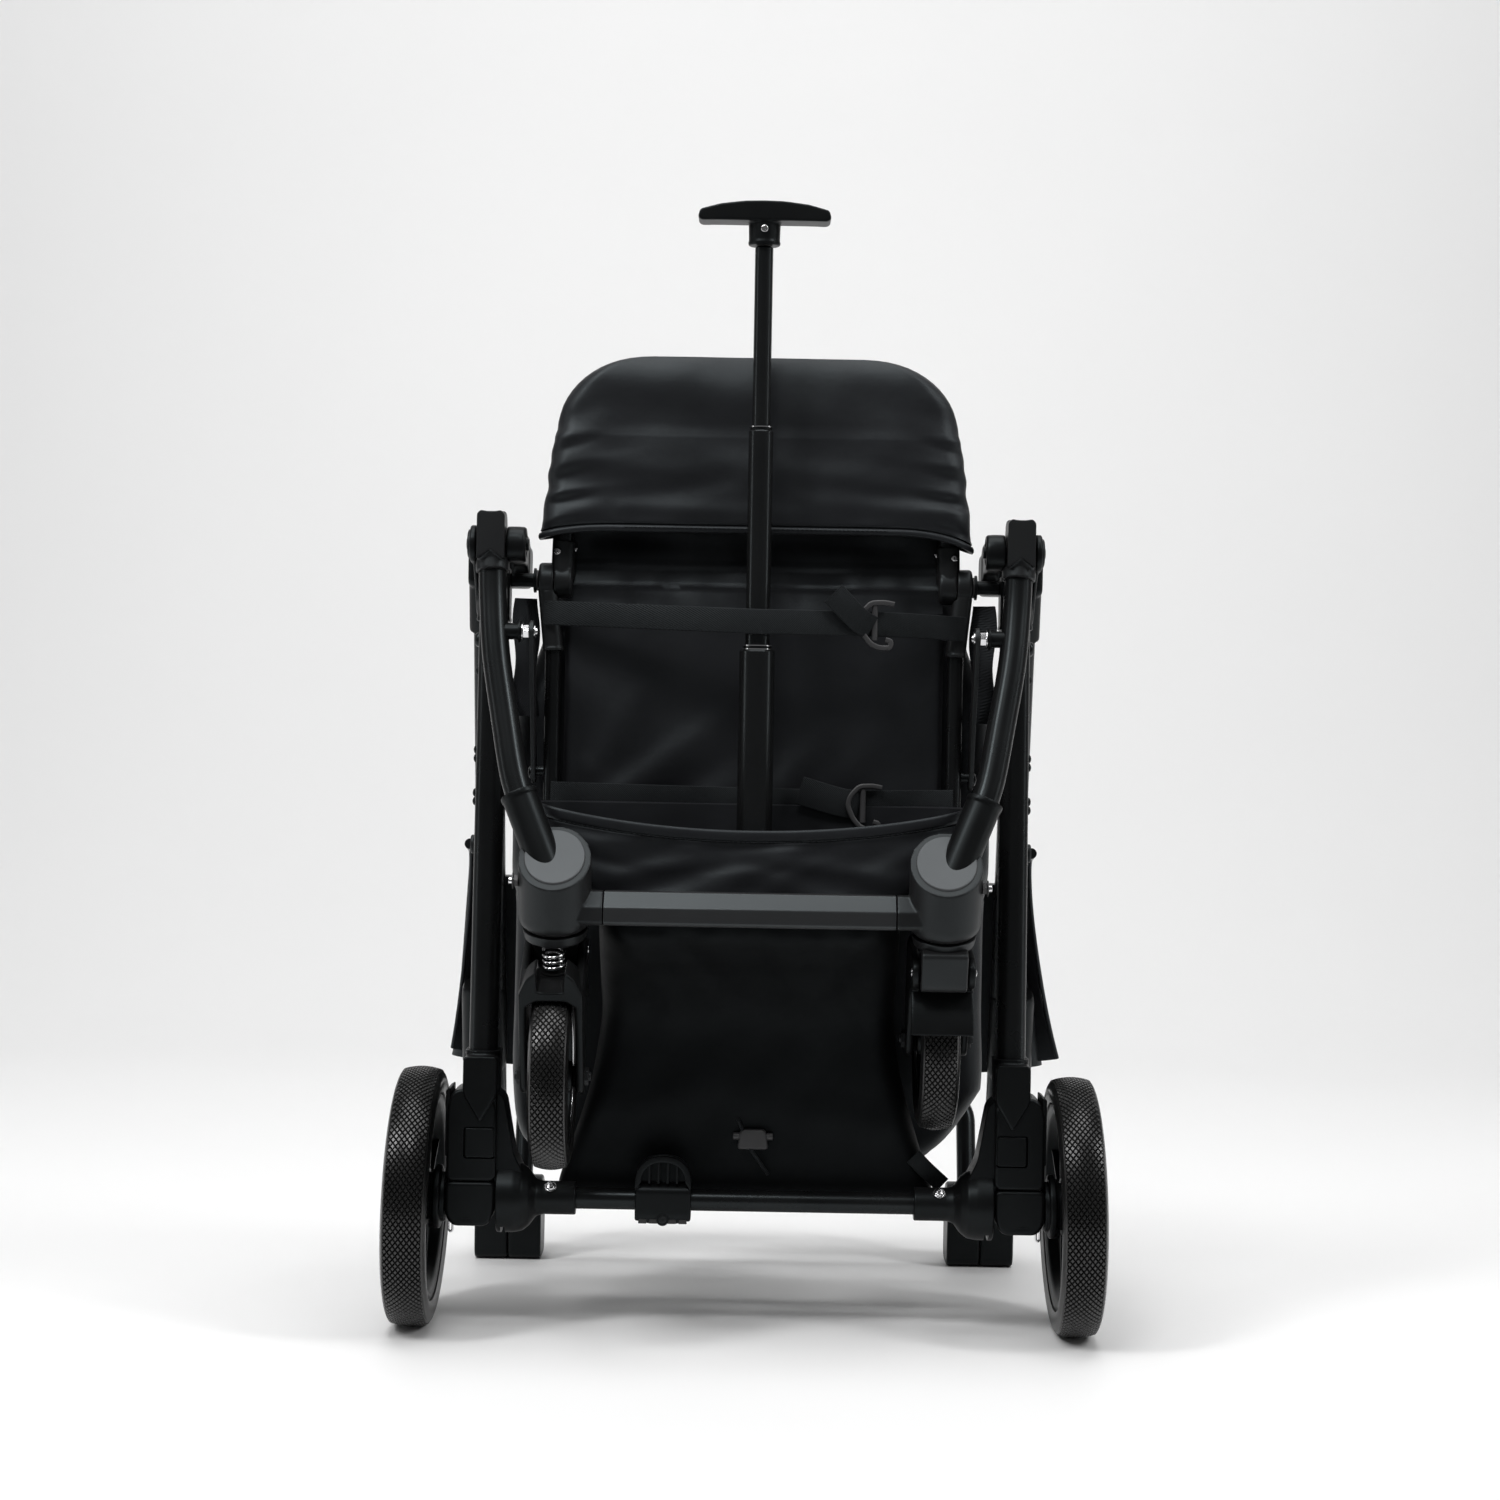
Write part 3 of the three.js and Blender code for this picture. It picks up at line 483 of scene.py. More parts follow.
def plain_look(name, dark, light, roughness, grain_scale, grain, gloss, tint=COOL, metallic=0.0, wear=0.06,
               blue=1.04):
    """Moulded or coated surface: cloudy tone, fine grain and a roughness that drifts a little."""
    look = Look(name, roughness, metallic, Specular_IOR_Level=gloss, Specular_Tint=tint)
    cloud = look.noise(18, 4)
    look.colour(cloud, (0.3, grey(dark, blue)), (0.7, grey(light, blue)))
    look.rough(look.remap(look.noise(60, 3), roughness - wear, roughness + wear))
    if grain:
        look.bump(look.noise(grain_scale, 2), grain, 0.6)
    return look.material


def weave(look, pitch, twill=0.0):
    """Over-and-under threads: two crossed waves, along the height and round the upright sides."""
    split = look.node("ShaderNodeSeparateXYZ", {"Vector": look.place})
    round_about = look.math("ADD", split.outputs["X"], split.outputs["Y"])
    height = look.math("ADD", split.outputs["Z"], look.math("MULTIPLY", split.outputs["Y"], 0.35))
    k = TAU / (pitch * MM)
    slant = look.math("ADD", height, look.math("MULTIPLY", round_about, twill))
    a = look.math("SINE", look.math("MULTIPLY", round_about, k))
    b = look.math("SINE", look.math("MULTIPLY", slant, k))
    return look.math("ADD", look.math("MULTIPLY", a, 0.35), b) if twill else look.math("MULTIPLY", a, b)


def fabric_look(name, dark, light, roughness, pitch, depth, twill=0.0, blue=1.15, gloss=0.27):
    look = Look(name, roughness, Sheen_Weight=0.02, Sheen_Roughness=0.4, Specular_IOR_Level=gloss,
                Specular_Tint=COOL)
    threads = weave(look, pitch, twill)
    cloud = look.noise(9, 5)
    tone = look.math("ADD", look.math("MULTIPLY", cloud, 0.75), look.math("MULTIPLY", threads, 0.12))
    look.colour(tone, (0.2, grey(dark, blue)), (0.65, grey(light, blue)))
    look.rough(look.remap(look.noise(45, 3), roughness - 0.08, roughness + 0.08))
    look.bump(look.noise(26, 3), 1.4, 0.4)
    look.bump(look.noise(70, 4), 0.6, 0.4)
    look.bump(threads, depth, 0.5)
    return look.material


coat = plain_look("powder_coat", 0.004, 0.007, 0.28, 2600, 0.008, 0.26, wear=0.03)
satin_grey = plain_look("satin_grey", 0.019, 0.024, 0.34, 2600, 0.01, 0.42, wear=0.03)
anodised = plain_look("anodised_rod", 0.005, 0.007, 0.24, 400, 0.0, 0.36, wear=0.03)
black = plain_look("moulded_black", 0.003, 0.005, 0.38, 1500, 0.04, 0.17)
charcoal = plain_look("moulded_charcoal", 0.011, 0.015, 0.4, 1500, 0.04, 0.26)
cap_grey = plain_look("cap_grey", 0.052, 0.062, 0.42, 1600, 0.03, 0.4)
buckle_grey = plain_look("buckle_grey", 0.03, 0.045, 0.4, 1500, 0.03, 0.4, NEUTRAL)
rubber = plain_look("rubber", 0.004, 0.007, 0.3, 1200, 0.04, 0.6, NEUTRAL, wear=0.05, blue=1.0)
chrome = plain_look("chrome", 0.62, 0.72, 0.17, 300, 0.0, 0.5, NEUTRAL, metallic=1.0, wear=0.05, blue=1.02)
polyester = fabric_look("polyester", 0.0085, 0.0125, 0.43, 0.85, 0.05, gloss=0.29)
# darker, less glossy cloth for the basket below the crossbar: painted shade standing in for the crossbar's
# shadow
painted_shade_cloth = fabric_look("painted_shade_cloth", 0.0016, 0.003, 0.55, 0.85, 0.05, gloss=0.12)
hem = fabric_look("hem", 0.011, 0.016, 0.44, 0.85, 0.05)
webbing = fabric_look("webbing_twill", 0.003, 0.006, 0.62, 1.5, 0.2, twill=1.0)
mesh_fabric = fabric_look("mesh_fabric", 0.003, 0.02, 0.5, 2.2, 0.3)


# ------------------------------------------------------------------ small hardware
def facing(at, direction):
    """Matrix that takes +Z to the direction and the origin to the place."""
    return Matrix.Translation(Vector(at)) @ Vector(direction).to_track_quat("Z", "Y").to_matrix().to_4x4()


def hex_screw(radius, height=1.6, socket=0.45):
    """Button-head screw with a hexagonal socket, seat on Z = 0, 48 points round."""
    segments = 48

    def level(r, z, hexagon=False):
        out = []
        for a in (TAU * i / segments for i in range(segments)):
            shrink = 1 / math.cos((a % (TAU / 6)) - TAU / 12) * math.cos(TAU / 12) if hexagon else 1
            out.append((r * shrink * math.cos(a), r * shrink * math.sin(a), z))
        return out

    hole = radius * socket
    return skin([level(radius, 0), level(radius, height * 0.35), level(radius * 0.93, height * 0.75),
                 level(radius * 0.75, height), level(hole * 1.12, height, True),
                 level(hole, height * 0.85, True), level(hole, height * 0.25, True)])


def washer(outer, inner, thick):
    profile = [(0, inner), (0, outer), (thick, outer), (thick, inner), (0, inner)]
    return lathe(profile, "Z", 48)


def rivet(radius, height):
    return lathe([(0, 0), (0, radius), (height * 0.4, radius * 0.96), (height * 0.8, radius * 0.72),
                  (height, radius * 0.3), (height, 0)], "Z", 32)


def hex_nut(radius, height):
    return plate(circle(radius, 6), "Z", 0, height, 0.3, 0.3, 2)


def hardware(name, s, look, body, at, direction, **settings):
    return piece(name, placed(s, facing(at, direction)), look, body, **settings)


# ------------------------------------------------------------------ camera and stage
def camera_and_stage():
    scene = bpy.context.scene
    scene.view_settings.view_transform = "Standard"
    camera = bpy.data.objects.new("camera", bpy.data.cameras.new("camera"))
    camera.data.lens = 68.8
    camera.data.sensor_width = 36
    camera.data.clip_end = 50
    look_down, roll = math.radians(0.6), math.radians(1.0)
    aim = Matrix.Rotation(TAU / 4 - look_down, 4, "X") @ Matrix.Rotation(roll, 4, "Z")
    camera.matrix_world = Matrix.Translation((-0.0018, -2.0889, 0.426)) @ aim
    scene.collection.objects.link(camera)
    scene.camera = camera

    floor = bpy.data.meshes.new("floor")
    width, front, back, height, bend = 3.6, -0.62, 3.0, 4.0, 1.5
    run = [(front, 0.0), (back - bend, 0.0)]
    turns = [TAU / 4 * k / 24 for k in range(1, 25)]
    run += [(back - bend + bend * math.sin(a), bend - bend * math.cos(a)) for a in turns]
    run.append((back, height))
    verts = [(x, y, z) for x in (-width, width) for y, z in run]
    n = len(run)
    floor.from_pydata(verts, [], [(i, i + n, i + n + 1, i + 1) for i in range(n - 1)])
    floor.shade_smooth()
    backdrop = bpy.data.objects.new("floor", floor)
    scene.collection.objects.link(backdrop)
    paper = Look("paper", 0.55)
    paper.colour(paper.noise(2.0), (0.3, grey(0.86, 1.0)), (0.7, grey(0.87, 1.0)))
    floor.materials.append(paper.material)

    world = bpy.data.worlds.new("studio")
    scene.world = world
    world.use_nodes = True
    tree = world.node_tree
    background = tree.nodes["Background"]
    background.inputs["Color"].default_value = NEUTRAL
    glow, seen_extra = 0.12, 0.7  # strength of the world as a light, and what the camera sees more
    seen = add_node(tree, "ShaderNodeLightPath").outputs["Is Camera Ray"]
    inputs = {0: seen, 1: seen_extra, 2: glow}
    strength = add_node(tree, "ShaderNodeMath", inputs, operation="MULTIPLY_ADD")
    tree.links.new(strength.outputs[0], background.inputs["Strength"])

    def softbox(name, place, target, width, height, power):
        light = bpy.data.lights.new(name, "AREA")
        light.shape = "RECTANGLE"
        light.size, light.size_y = width, height
        light.energy = power
        obj = bpy.data.objects.new(name, light)
        obj.location = place
        obj.rotation_euler = (Vector(target) - Vector(place)).to_track_quat("-Z", "Y").to_euler()
        scene.collection.objects.link(obj)

    softbox("key_left", (-1.7, -1.5, 2.6), (0, 0, 0.6), 0.5, 1.2, 38)
    softbox("key_right", (2.0, -1.1, 2.2), (0, 0, 0.6), 0.4, 1.2, 26)
    softbox("front_fill", (-0.3, -1.25, 1.9), (0, 0, 0.6), 0.5, 0.4, 9.5)
    softbox("strip_left", (-1.5, -0.3, 0.8), (0, 0, 0.45), 0.14, 1.8, 2.6)
    softbox("strip_right", (1.5, -0.3, 0.8), (0, 0, 0.45), 0.14, 1.8, 2.6)
    softbox("overhead", (0, -0.25, 2.6), (0, -0.1, 0.3), 2.0, 1.5, 34)
    softbox("backdrop_wash", (0, 1.3, 2.6), (0, 3.0, 0.9), 4.0, 0.8, 28)


# ------------------------------------------------------------------ rear frame
def leg_point(z):
    t = (z - LEG_LOW[2]) / (LEG_HIGH[2] - LEG_LOW[2])
    return tuple(a + (b - a) * t for a, b in zip(LEG_LOW, LEG_HIGH))


def rear_legs():
    section = rounded_rect(20, 28, 8, 10)
    piece("rear_leg_{side}", bar(section, LEG_LOW, LEG_HIGH), coat, "rear_frame",
          ["rear_leg_tube_{side}"])
    heads = [leg_point(z) for z in (457, 402, 396, 372, 366)]
    studs = [placed(rivet(3.2, 2.4), facing((x + 9.7, y - 2, z), OUT)) for x, y, z in heads]
    piece("leg_rivets_{side}", joined(*studs), black, "rear_frame")
    x, y, z = leg_point(479)
    hardware("leg_bolt_{side}", hex_screw(5.2, 3.2), coat, "rear_frame", (x + 9.8, y + 3, z), OUT)


def hub_housings():
    seam = 103
    upper = [(173, seam + 0.2), (207.5, seam + 0.2), (207.5, 154), (205, 163), (200, 167), (180, 167),
             (175, 163), (173, 154)]
    lower = [(173, 84), (178, 72), (203, 72), (208, 80), (208, seam - 0.2), (173, seam - 0.2)]
    pocket = plate([(173.5, 119), (195.5, 119), (195.5, 141), (173.5, 141)], "Y", -25, -12.6, 0.0, 2.2, 4)
    body = carved(to_mesh("housing", plate(upper, "Y", -18.5, 21, 3.2, 5, 6)), [pocket])
    piece("hub_housing_{side}", body, black, "rear_frame", ["rear_hub_housing_{side}"], sharp=30)
    foot = plate(lower, "Y", -18.9, 21.4, 2.6, 5, 6)
    web = plate([(175, 166), (168, 161), (161, 122), (153, 106), (150, 96), (175, 96)], "Y", -13, 16, 2.4,
                4, 4)
    piece("hub_web_{side}", web, black, "rear_frame")
    marks = [block(188, 198, -19.4, -18.2, 74.6, 75.6), block(190, 196, -19.4, -18.2, 77, 77.7)]
    piece("hub_lower_{side}", foot, black, "rear_frame")
    piece("hub_marks_{side}", joined(*marks), black, "rear_frame")
    sleeve = bar(rounded_rect(24, 33, 9.5, 8), leg_point(163), leg_point(193))
    lip = bar(rounded_rect(25, 34, 10, 8), leg_point(190.4), leg_point(193.2))
    tongue = prism(filleted([(172.6, 190), (172.6, 164), (184.4, 144), (196.4, 164), (196.4, 190)], 3, 4,
                            True), "Y", -21.4, -6)
    cheek = plate([(172.9, 120), (176, 120), (176, 168), (172.9, 166)], "Y", -17.5, 19, 1, 0.6)
    cheek_out = plate([(205, 120), (208.4, 120), (208.4, 166), (205, 168)], "Y", -17.5, 19, 1, 0.6)
    neck = moulding(joined(sleeve, lip, tongue, cheek, cheek_out), 0.8, 3)
    piece("hub_sleeve_{side}", neck, black, "rear_frame", even=False)
    button = plate([(174.3, 119.8), (194.7, 119.8), (194.7, 140.2), (174.3, 140.2)], "Y", -19.1, -16.6, 0.9,
                   2, 4)
    piece("release_button_{side}", button, black, "button_{side}", ["wheel_release_button_{side}"])
    pin_loop = [(203.6, -1, 78), (203.8, -1, 68), (204.0, -1, 66.3), (205.1, -1, 65.3), (206.2, -1, 66.3),
                (206.4, -1, 68), (206.4, -1, 76)]
    piece("release_pin_{side}", tube(smooth_line(pin_loop, 6), 0.8, 16), chrome, "rear_frame")


def axle():
    profile = [(117.9, 7.8), (117.9, 11), (118.6, 11.6), (141, 11.6), (145.5, 13), (150, 19.2), (155, 23.2),
               (161, 24.3), (172.7, 24.5), (172.7, 0), (134.3, 0), (134.3, 7.8), (117.9, 7.8)]
    socket = moved(lathe(filleted(profile[:-1], 1.4, 4) + [profile[-1]], "X", 120), z=REAR_WHEEL_RADIUS)
    notch = block(166.5, 169.5, -30, 30, 60, 71.5)
    bell = carved(to_mesh("socket", socket), [notch])
    piece("axle_socket_{side}", bell, black, "rear_frame", ["axle_socket_{side}"])
    angle = math.radians(48)
    place = (135.2, -11.3 * math.cos(angle), REAR_WHEEL_RADIUS + 11.3 * math.sin(angle))
    toward = (0, -math.cos(angle), math.sin(angle))
    hardware("axle_washer_{side}", washer(4.3, 2.4, 0.8), chrome, "rear_frame", place, toward)
    top = tuple(a + 0.7 * b for a, b in zip(place, toward))
    hardware("axle_screw_{side}", hex_screw(3.3, 1.7), chrome, "rear_frame", top, toward)
    tube_shape = moved(pin(7.5, -134, 134, "X", 0.4, 64), z=REAR_WHEEL_RADIUS)
    piece("axle_tube", tube_shape, coat, "rear_frame", ["rear_axle_tube"])


def brake_pedal():
    x = BRAKE_X
    clamp = moved(plate([(-9.5, -13), (10.5, -13), (10.5, 9), (6, 13), (-6, 13), (-10.5, 9), (-10.5, -9)],
                        "X", -19.5, 19.5, 2.0, 5, 6), x, 0, 89)
    arch = both_halves([(-19.5, 98), (-19.3, 106), (-17, 113.5), (-11.5, 119), (-4, 121)])
    hole = both_halves([(15.4, 103.5), (15.2, 107), (13, 111.8), (8.6, 115.6), (3, 117.2)])
    hoop, inner = smooth_line(arch, 5), smooth_line(hole, 5)
    ring = prism(hoop + inner, "Y", -11.5, -3)
    back = prism(hoop, "Y", -1.2, 3.6)
    lip = prism([(-19.5, 74.6), (19.5, 74.6), (17, 70.8), (9, 68.9), (-9, 68.9), (-17, 70.8)], "Y", -9.5, 8)
    solid = moulding(joined(clamp, moved(ring, x), moved(back, x), moved(lip, x, 0, 5.5)), 0.55, 3)
    piece("brake_pedal_body", solid, black, "pedal", ["brake_pedal"], even=False)
    ribs = [block(x + a - 0.7, x + a + 0.7, -9.8, 0, 102.5, 118.6 - abs(a) * 0.25)
            for a in (-9.6, -3.2, 3.2, 9.6)]
    piece("brake_pedal_ribs", joined(*ribs), black, "pedal")
    slots = [plate([(x + a - 3, 74.6), (x + a + 3, 74.6), (x + a + 2.6, 77.6), (x + a - 2.6, 77.6)], "Y",
                   -10.2, -9.2, 0.2, 0.6) for a in (-14, -6.5, 6.5, 14)]
    piece("brake_pedal_slots", joined(*slots), rubber, "pedal")
    hardware("brake_pedal_boss", pin(4.4, 0, 1.4, "Z", 0.5), black, "pedal", (x, -9.4, 77.5), FORWARD)
    hardware("brake_pedal_screw", hex_screw(2.6, 1.0), charcoal, "pedal", (x, -10.6, 77.5), FORWARD)


# ------------------------------------------------------------------ wheels
def knurled_tyre(radius, width, depth, around, columns, raise_by=1.1):
    """Solid tyre whose crown carries rows of small raised diamonds, on the X axis."""
    half = width / 2
    crown = half - 2.6
    verts, index, diamonds, faces = [], {}, [], []

    def lattice(i, j):
        key = (i % around, j)
        if key not in index:
            u = 2 * j / columns - 1
            r = radius - raise_by - 2.2 * u * u
            a = TAU * (i % around) / around
            index[key] = len(verts)
            verts.append((crown * u, r * math.cos(a), r * math.sin(a)))
        return index[key]

    for i in range(around):
        for j in range(columns + 1):
            if (i + j) % 2 == 0:
                continue
            if j == 0:
                diamonds.append((lattice(i - 1, 0), lattice(i, 0), lattice(i + 1, 0), lattice(i, 1)))
            elif j == columns:
                diamonds.append((lattice(i + 1, j), lattice(i, j), lattice(i - 1, j), lattice(i, j - 1)))
            else:
                diamonds.append((lattice(i - 1, j), lattice(i, j - 1), lattice(i + 1, j), lattice(i, j + 1)))
    wall = [(crown + 0.9, radius - 3.9, 0.0), (crown + 1.3, radius - 5.0, 0.35),
            (half - 0.9, radius - 6.2, 0.35), (half - 0.5, radius - 7.2, 0), (half, radius - 9.5, 0),
            (half - 0.2, radius - depth * 0.75, 0), (half - 1.6, radius - depth + 0.4, 0),
            (half - 3, radius - depth, 0)]
    last = {}
    for sign, j in ((-1, 0), (1, columns)):
        row = [index[(i, j)] for i in range(around)]
        for x, r, tooth in wall:
            ring = []
            for i in range(around):
                a = TAU * i / around
                rr = r + (tooth if i % 2 else -tooth)
                ring.append(len(verts))
                verts.append((sign * x, rr * math.cos(a), rr * math.sin(a)))
            for i in range(around):
                k = (i + 1) % around
                faces.append((row[i], row[k], ring[k], ring[i]))
            row = ring
        last[sign] = row
    for i in range(around):
        k = (i + 1) % around
        faces.append((last[-1][i], last[-1][k], last[1][k], last[1][i]))
    bm = bmesh.new()
    made = [bm.verts.new(v) for v in verts]
    tread = [bm.faces.new([made[i] for i in f]) for f in diamonds]
    for f in faces:
        bm.faces.new([made[i] for i in f])
    bmesh.ops.recalc_face_normals(bm, faces=bm.faces)
    bmesh.ops.inset_individual(bm, faces=tread, thickness=0.6, depth=raise_by, use_even_offset=True)
    return from_bmesh(bm)


def spokes(count, near, far, low, high, ease, corner):
    """Even spokes of a rim on the X axis; near and far are (radius, half width) at their two ends."""
    (r0, w0), (r1, w1) = near, far
    verts, faces = plate([(r0, -w0), (r1, -w1), (r1, w1), (r0, w0)], "X", low, high, ease, corner)
    one = verts[:, [0, 2, 1]], faces
    return [placed(one, Matrix.Rotation(TAU * k / count, 4, "X")) for k in range(count)]


def rear_wheels():
    place = Matrix.Translation((REAR_WHEEL_X, 0, REAR_WHEEL_RADIUS)) @ Matrix.Rotation(-CAMBER, 4, "Y")
    tyre = placed(knurled_tyre(REAR_WHEEL_RADIUS, 31, 18, 224, 14), place)
    piece("rear_tyre_tread_{side}", tyre, rubber, "rear_wheel_{side}", ["rear_tyre_{side}"], sharp=30,
          even=False)
    outer = REAR_WHEEL_RADIUS - 18.3
    dish = [(-8, 0), (-8, 20), (-4.5, 23), (-4, outer - 13), (-11.5, outer - 7.5), (-13.2, outer - 3.2),
            (-13.2, outer), (13.2, outer), (13.2, outer - 3.2), (11.5, outer - 7.5), (4, outer - 13),
            (4.5, 23), (9.5, 18), (10.5, 12), (10.5, 0)]
    parts = [turned(dish, 1.6, 4, 128)]
    parts += spokes(6, (19, 5.5), (outer - 9, 9), 3, 8.4, 1.2, 2.5)
    parts += spokes(6, (20, 1.2), (outer - 9, 1.2), -8.5, -3, 0.5, 0.5)
    piece("rear_rim_dish_{side}", placed(joined(*parts), place), black, "rear_wheel_{side}",
          ["rear_rim_{side}"])
    collar = [(-20.8, 0), (-20.8, 16.6), (-20, 17.4), (-17.6, 17.4), (-17.2, 21.4), (-16.4, 22.2),
              (-13.4, 22.2), (-12.8, 21.6), (-12.6, 19.4), (-12, 19), (-11, 19), (-10.8, 16.5), (-7, 16.5),
              (-7, 0)]
    piece("rear_hub_collar_{side}", placed(turned(collar, 0.5, 2), place), black,
          "rear_wheel_{side}")
    hub_cap = [(10, 0), (10, 15.5), (12, 15.2), (13.6, 13.2), (14.2, 9), (14.2, 0)]
    piece("rear_hub_cap_{side}", placed(turned(hub_cap, 0.6), place), charcoal,
          "rear_wheel_{side}")


def caster_matrix(side_sign):
    turn = Matrix.Rotation(math.pi if side_sign > 0 else 0, 4, "Z")
    place = Matrix.Translation((side_sign * CASTER.x, CASTER.y, CASTER.z))
    return place @ Matrix.Rotation(CASTER_TILT, 4, "X") @ turn


def front_wheels():
    outer = FRONT_WHEEL_RADIUS - 14.3
    hub = Matrix.Translation((0, -CASTER_TRAIL, -FRONT_WHEEL_DROP))
    tyre = knurled_tyre(FRONT_WHEEL_RADIUS, 27, 14, 156, 12, 0.95)
    dish = both_halves([(-13.4, 0), (-13.4, 9.5), (-12, 10.6), (-5, 11.5), (-2.8, 16), (-2.8, outer - 9),
                        (-10, outer - 5), (-11.3, outer - 2.4), (-11.3, outer)])
    rim = [turned(dish, 1.2, 4, 112)]
    rim += spokes(5, (10, 3.4), (outer - 6, 5.5), -6.4, 6.4, 1.0, 2)
    wire = circle(0.75, 10)
    wire.append(wire[0])
    rings = [lathe([(x + a, outer - 4.1 + b) for a, b in wire], "X", 96) for x in (-10.7, 10.7)]
    for side, sign in SIDES:
        at = caster_matrix(sign) @ hub
        body = f"front_wheel_{side}"
        piece(f"front_tyre_tread_{side}", placed(tyre, at), rubber, body, [f"front_tyre_{side}"], sharp=30,
              even=False)
        piece(f"front_rim_dish_{side}", placed(joined(*rim), at), black, body, [f"front_rim_{side}"])
        piece(f"front_rim_rings_{side}", placed(joined(*rings), at), chrome, body)


# ------------------------------------------------------------------ casters
def caster_parts():
    barrel = turned([(-30, 0), (-30, 19.5), (-26, 23.5), (-22, 24.5), (60, 24.5), (60, 0)], 1.5, 4, axis="Z")
    tilt = Matrix.Translation(CASTER) @ Matrix.Rotation(CASTER_TILT, 4, "X")
    normal = Matrix.Rotation(CAP_TILT, 3, "X") @ Vector((0, 0, 1))
    body = plane_cut(placed(barrel, tilt), CAP_POINT, normal)
    low, high = np.array((139.5, -78, 331.0)), np.array((157.5, -66.5, 374.0))
    along = (high - low) / np.linalg.norm(high - low)
    ferrule = tube([low - along * 16, low, high - along * 3.4], 12.2, 48)
    mouth = tube([high - along * 3.6, high - along * 2.6, high - along * 0.8, high], 12.9, 48)
    cone = moved(plate(CROSSBAR_SECTION, "X", 98.4, 123, 0.5, 1.0, 3), 0, CASTER.y, CROSSBAR_Z)
    inner = plane_cut(placed(lathe([(0, 0), (0, 20.4), (70, 20.4), (70, 0)], "Z", 96), tilt),
                      CAP_POINT + normal * 1.2, normal)
    cap = plane_cut(inner, CAP_POINT - normal * 3.5, -normal)
    bore = tube([high - along * 0.4, high + along * 10], 10, 48)
    housing = moulding(joined(body, cone), 0.7, 3)
    sleeve = moulding(joined(ferrule, mouth), 0.7, 3, [bore])
    piece("caster_ferrule_{side}", sleeve, black, "front_frame", even=False)
    piece("caster_shell_{side}", housing, charcoal, "front_frame", ["caster_housing_{side}"],
          even=False)
    piece("caster_cap_{side}", eased(cap, 0.9, 40), cap_grey, "front_frame")
    bolt_at = (CASTER.x + 24.2, CASTER.y - 4, 316)
    hardware("caster_nut_{side}", hex_nut(4.2, 3), buckle_grey, "front_frame", bolt_at, OUT)
    hardware("caster_bolt_{side}", pin(2.4, 0, 6.5, "Z", 0.5, 24), chrome, "front_frame", bolt_at, OUT)
    hardware("caster_clip_{side}", washer(5.4, 2.5, 0.8), buckle_grey, "front_frame",
             (bolt_at[0] + 3.2, bolt_at[1], bolt_at[2]), OUT)


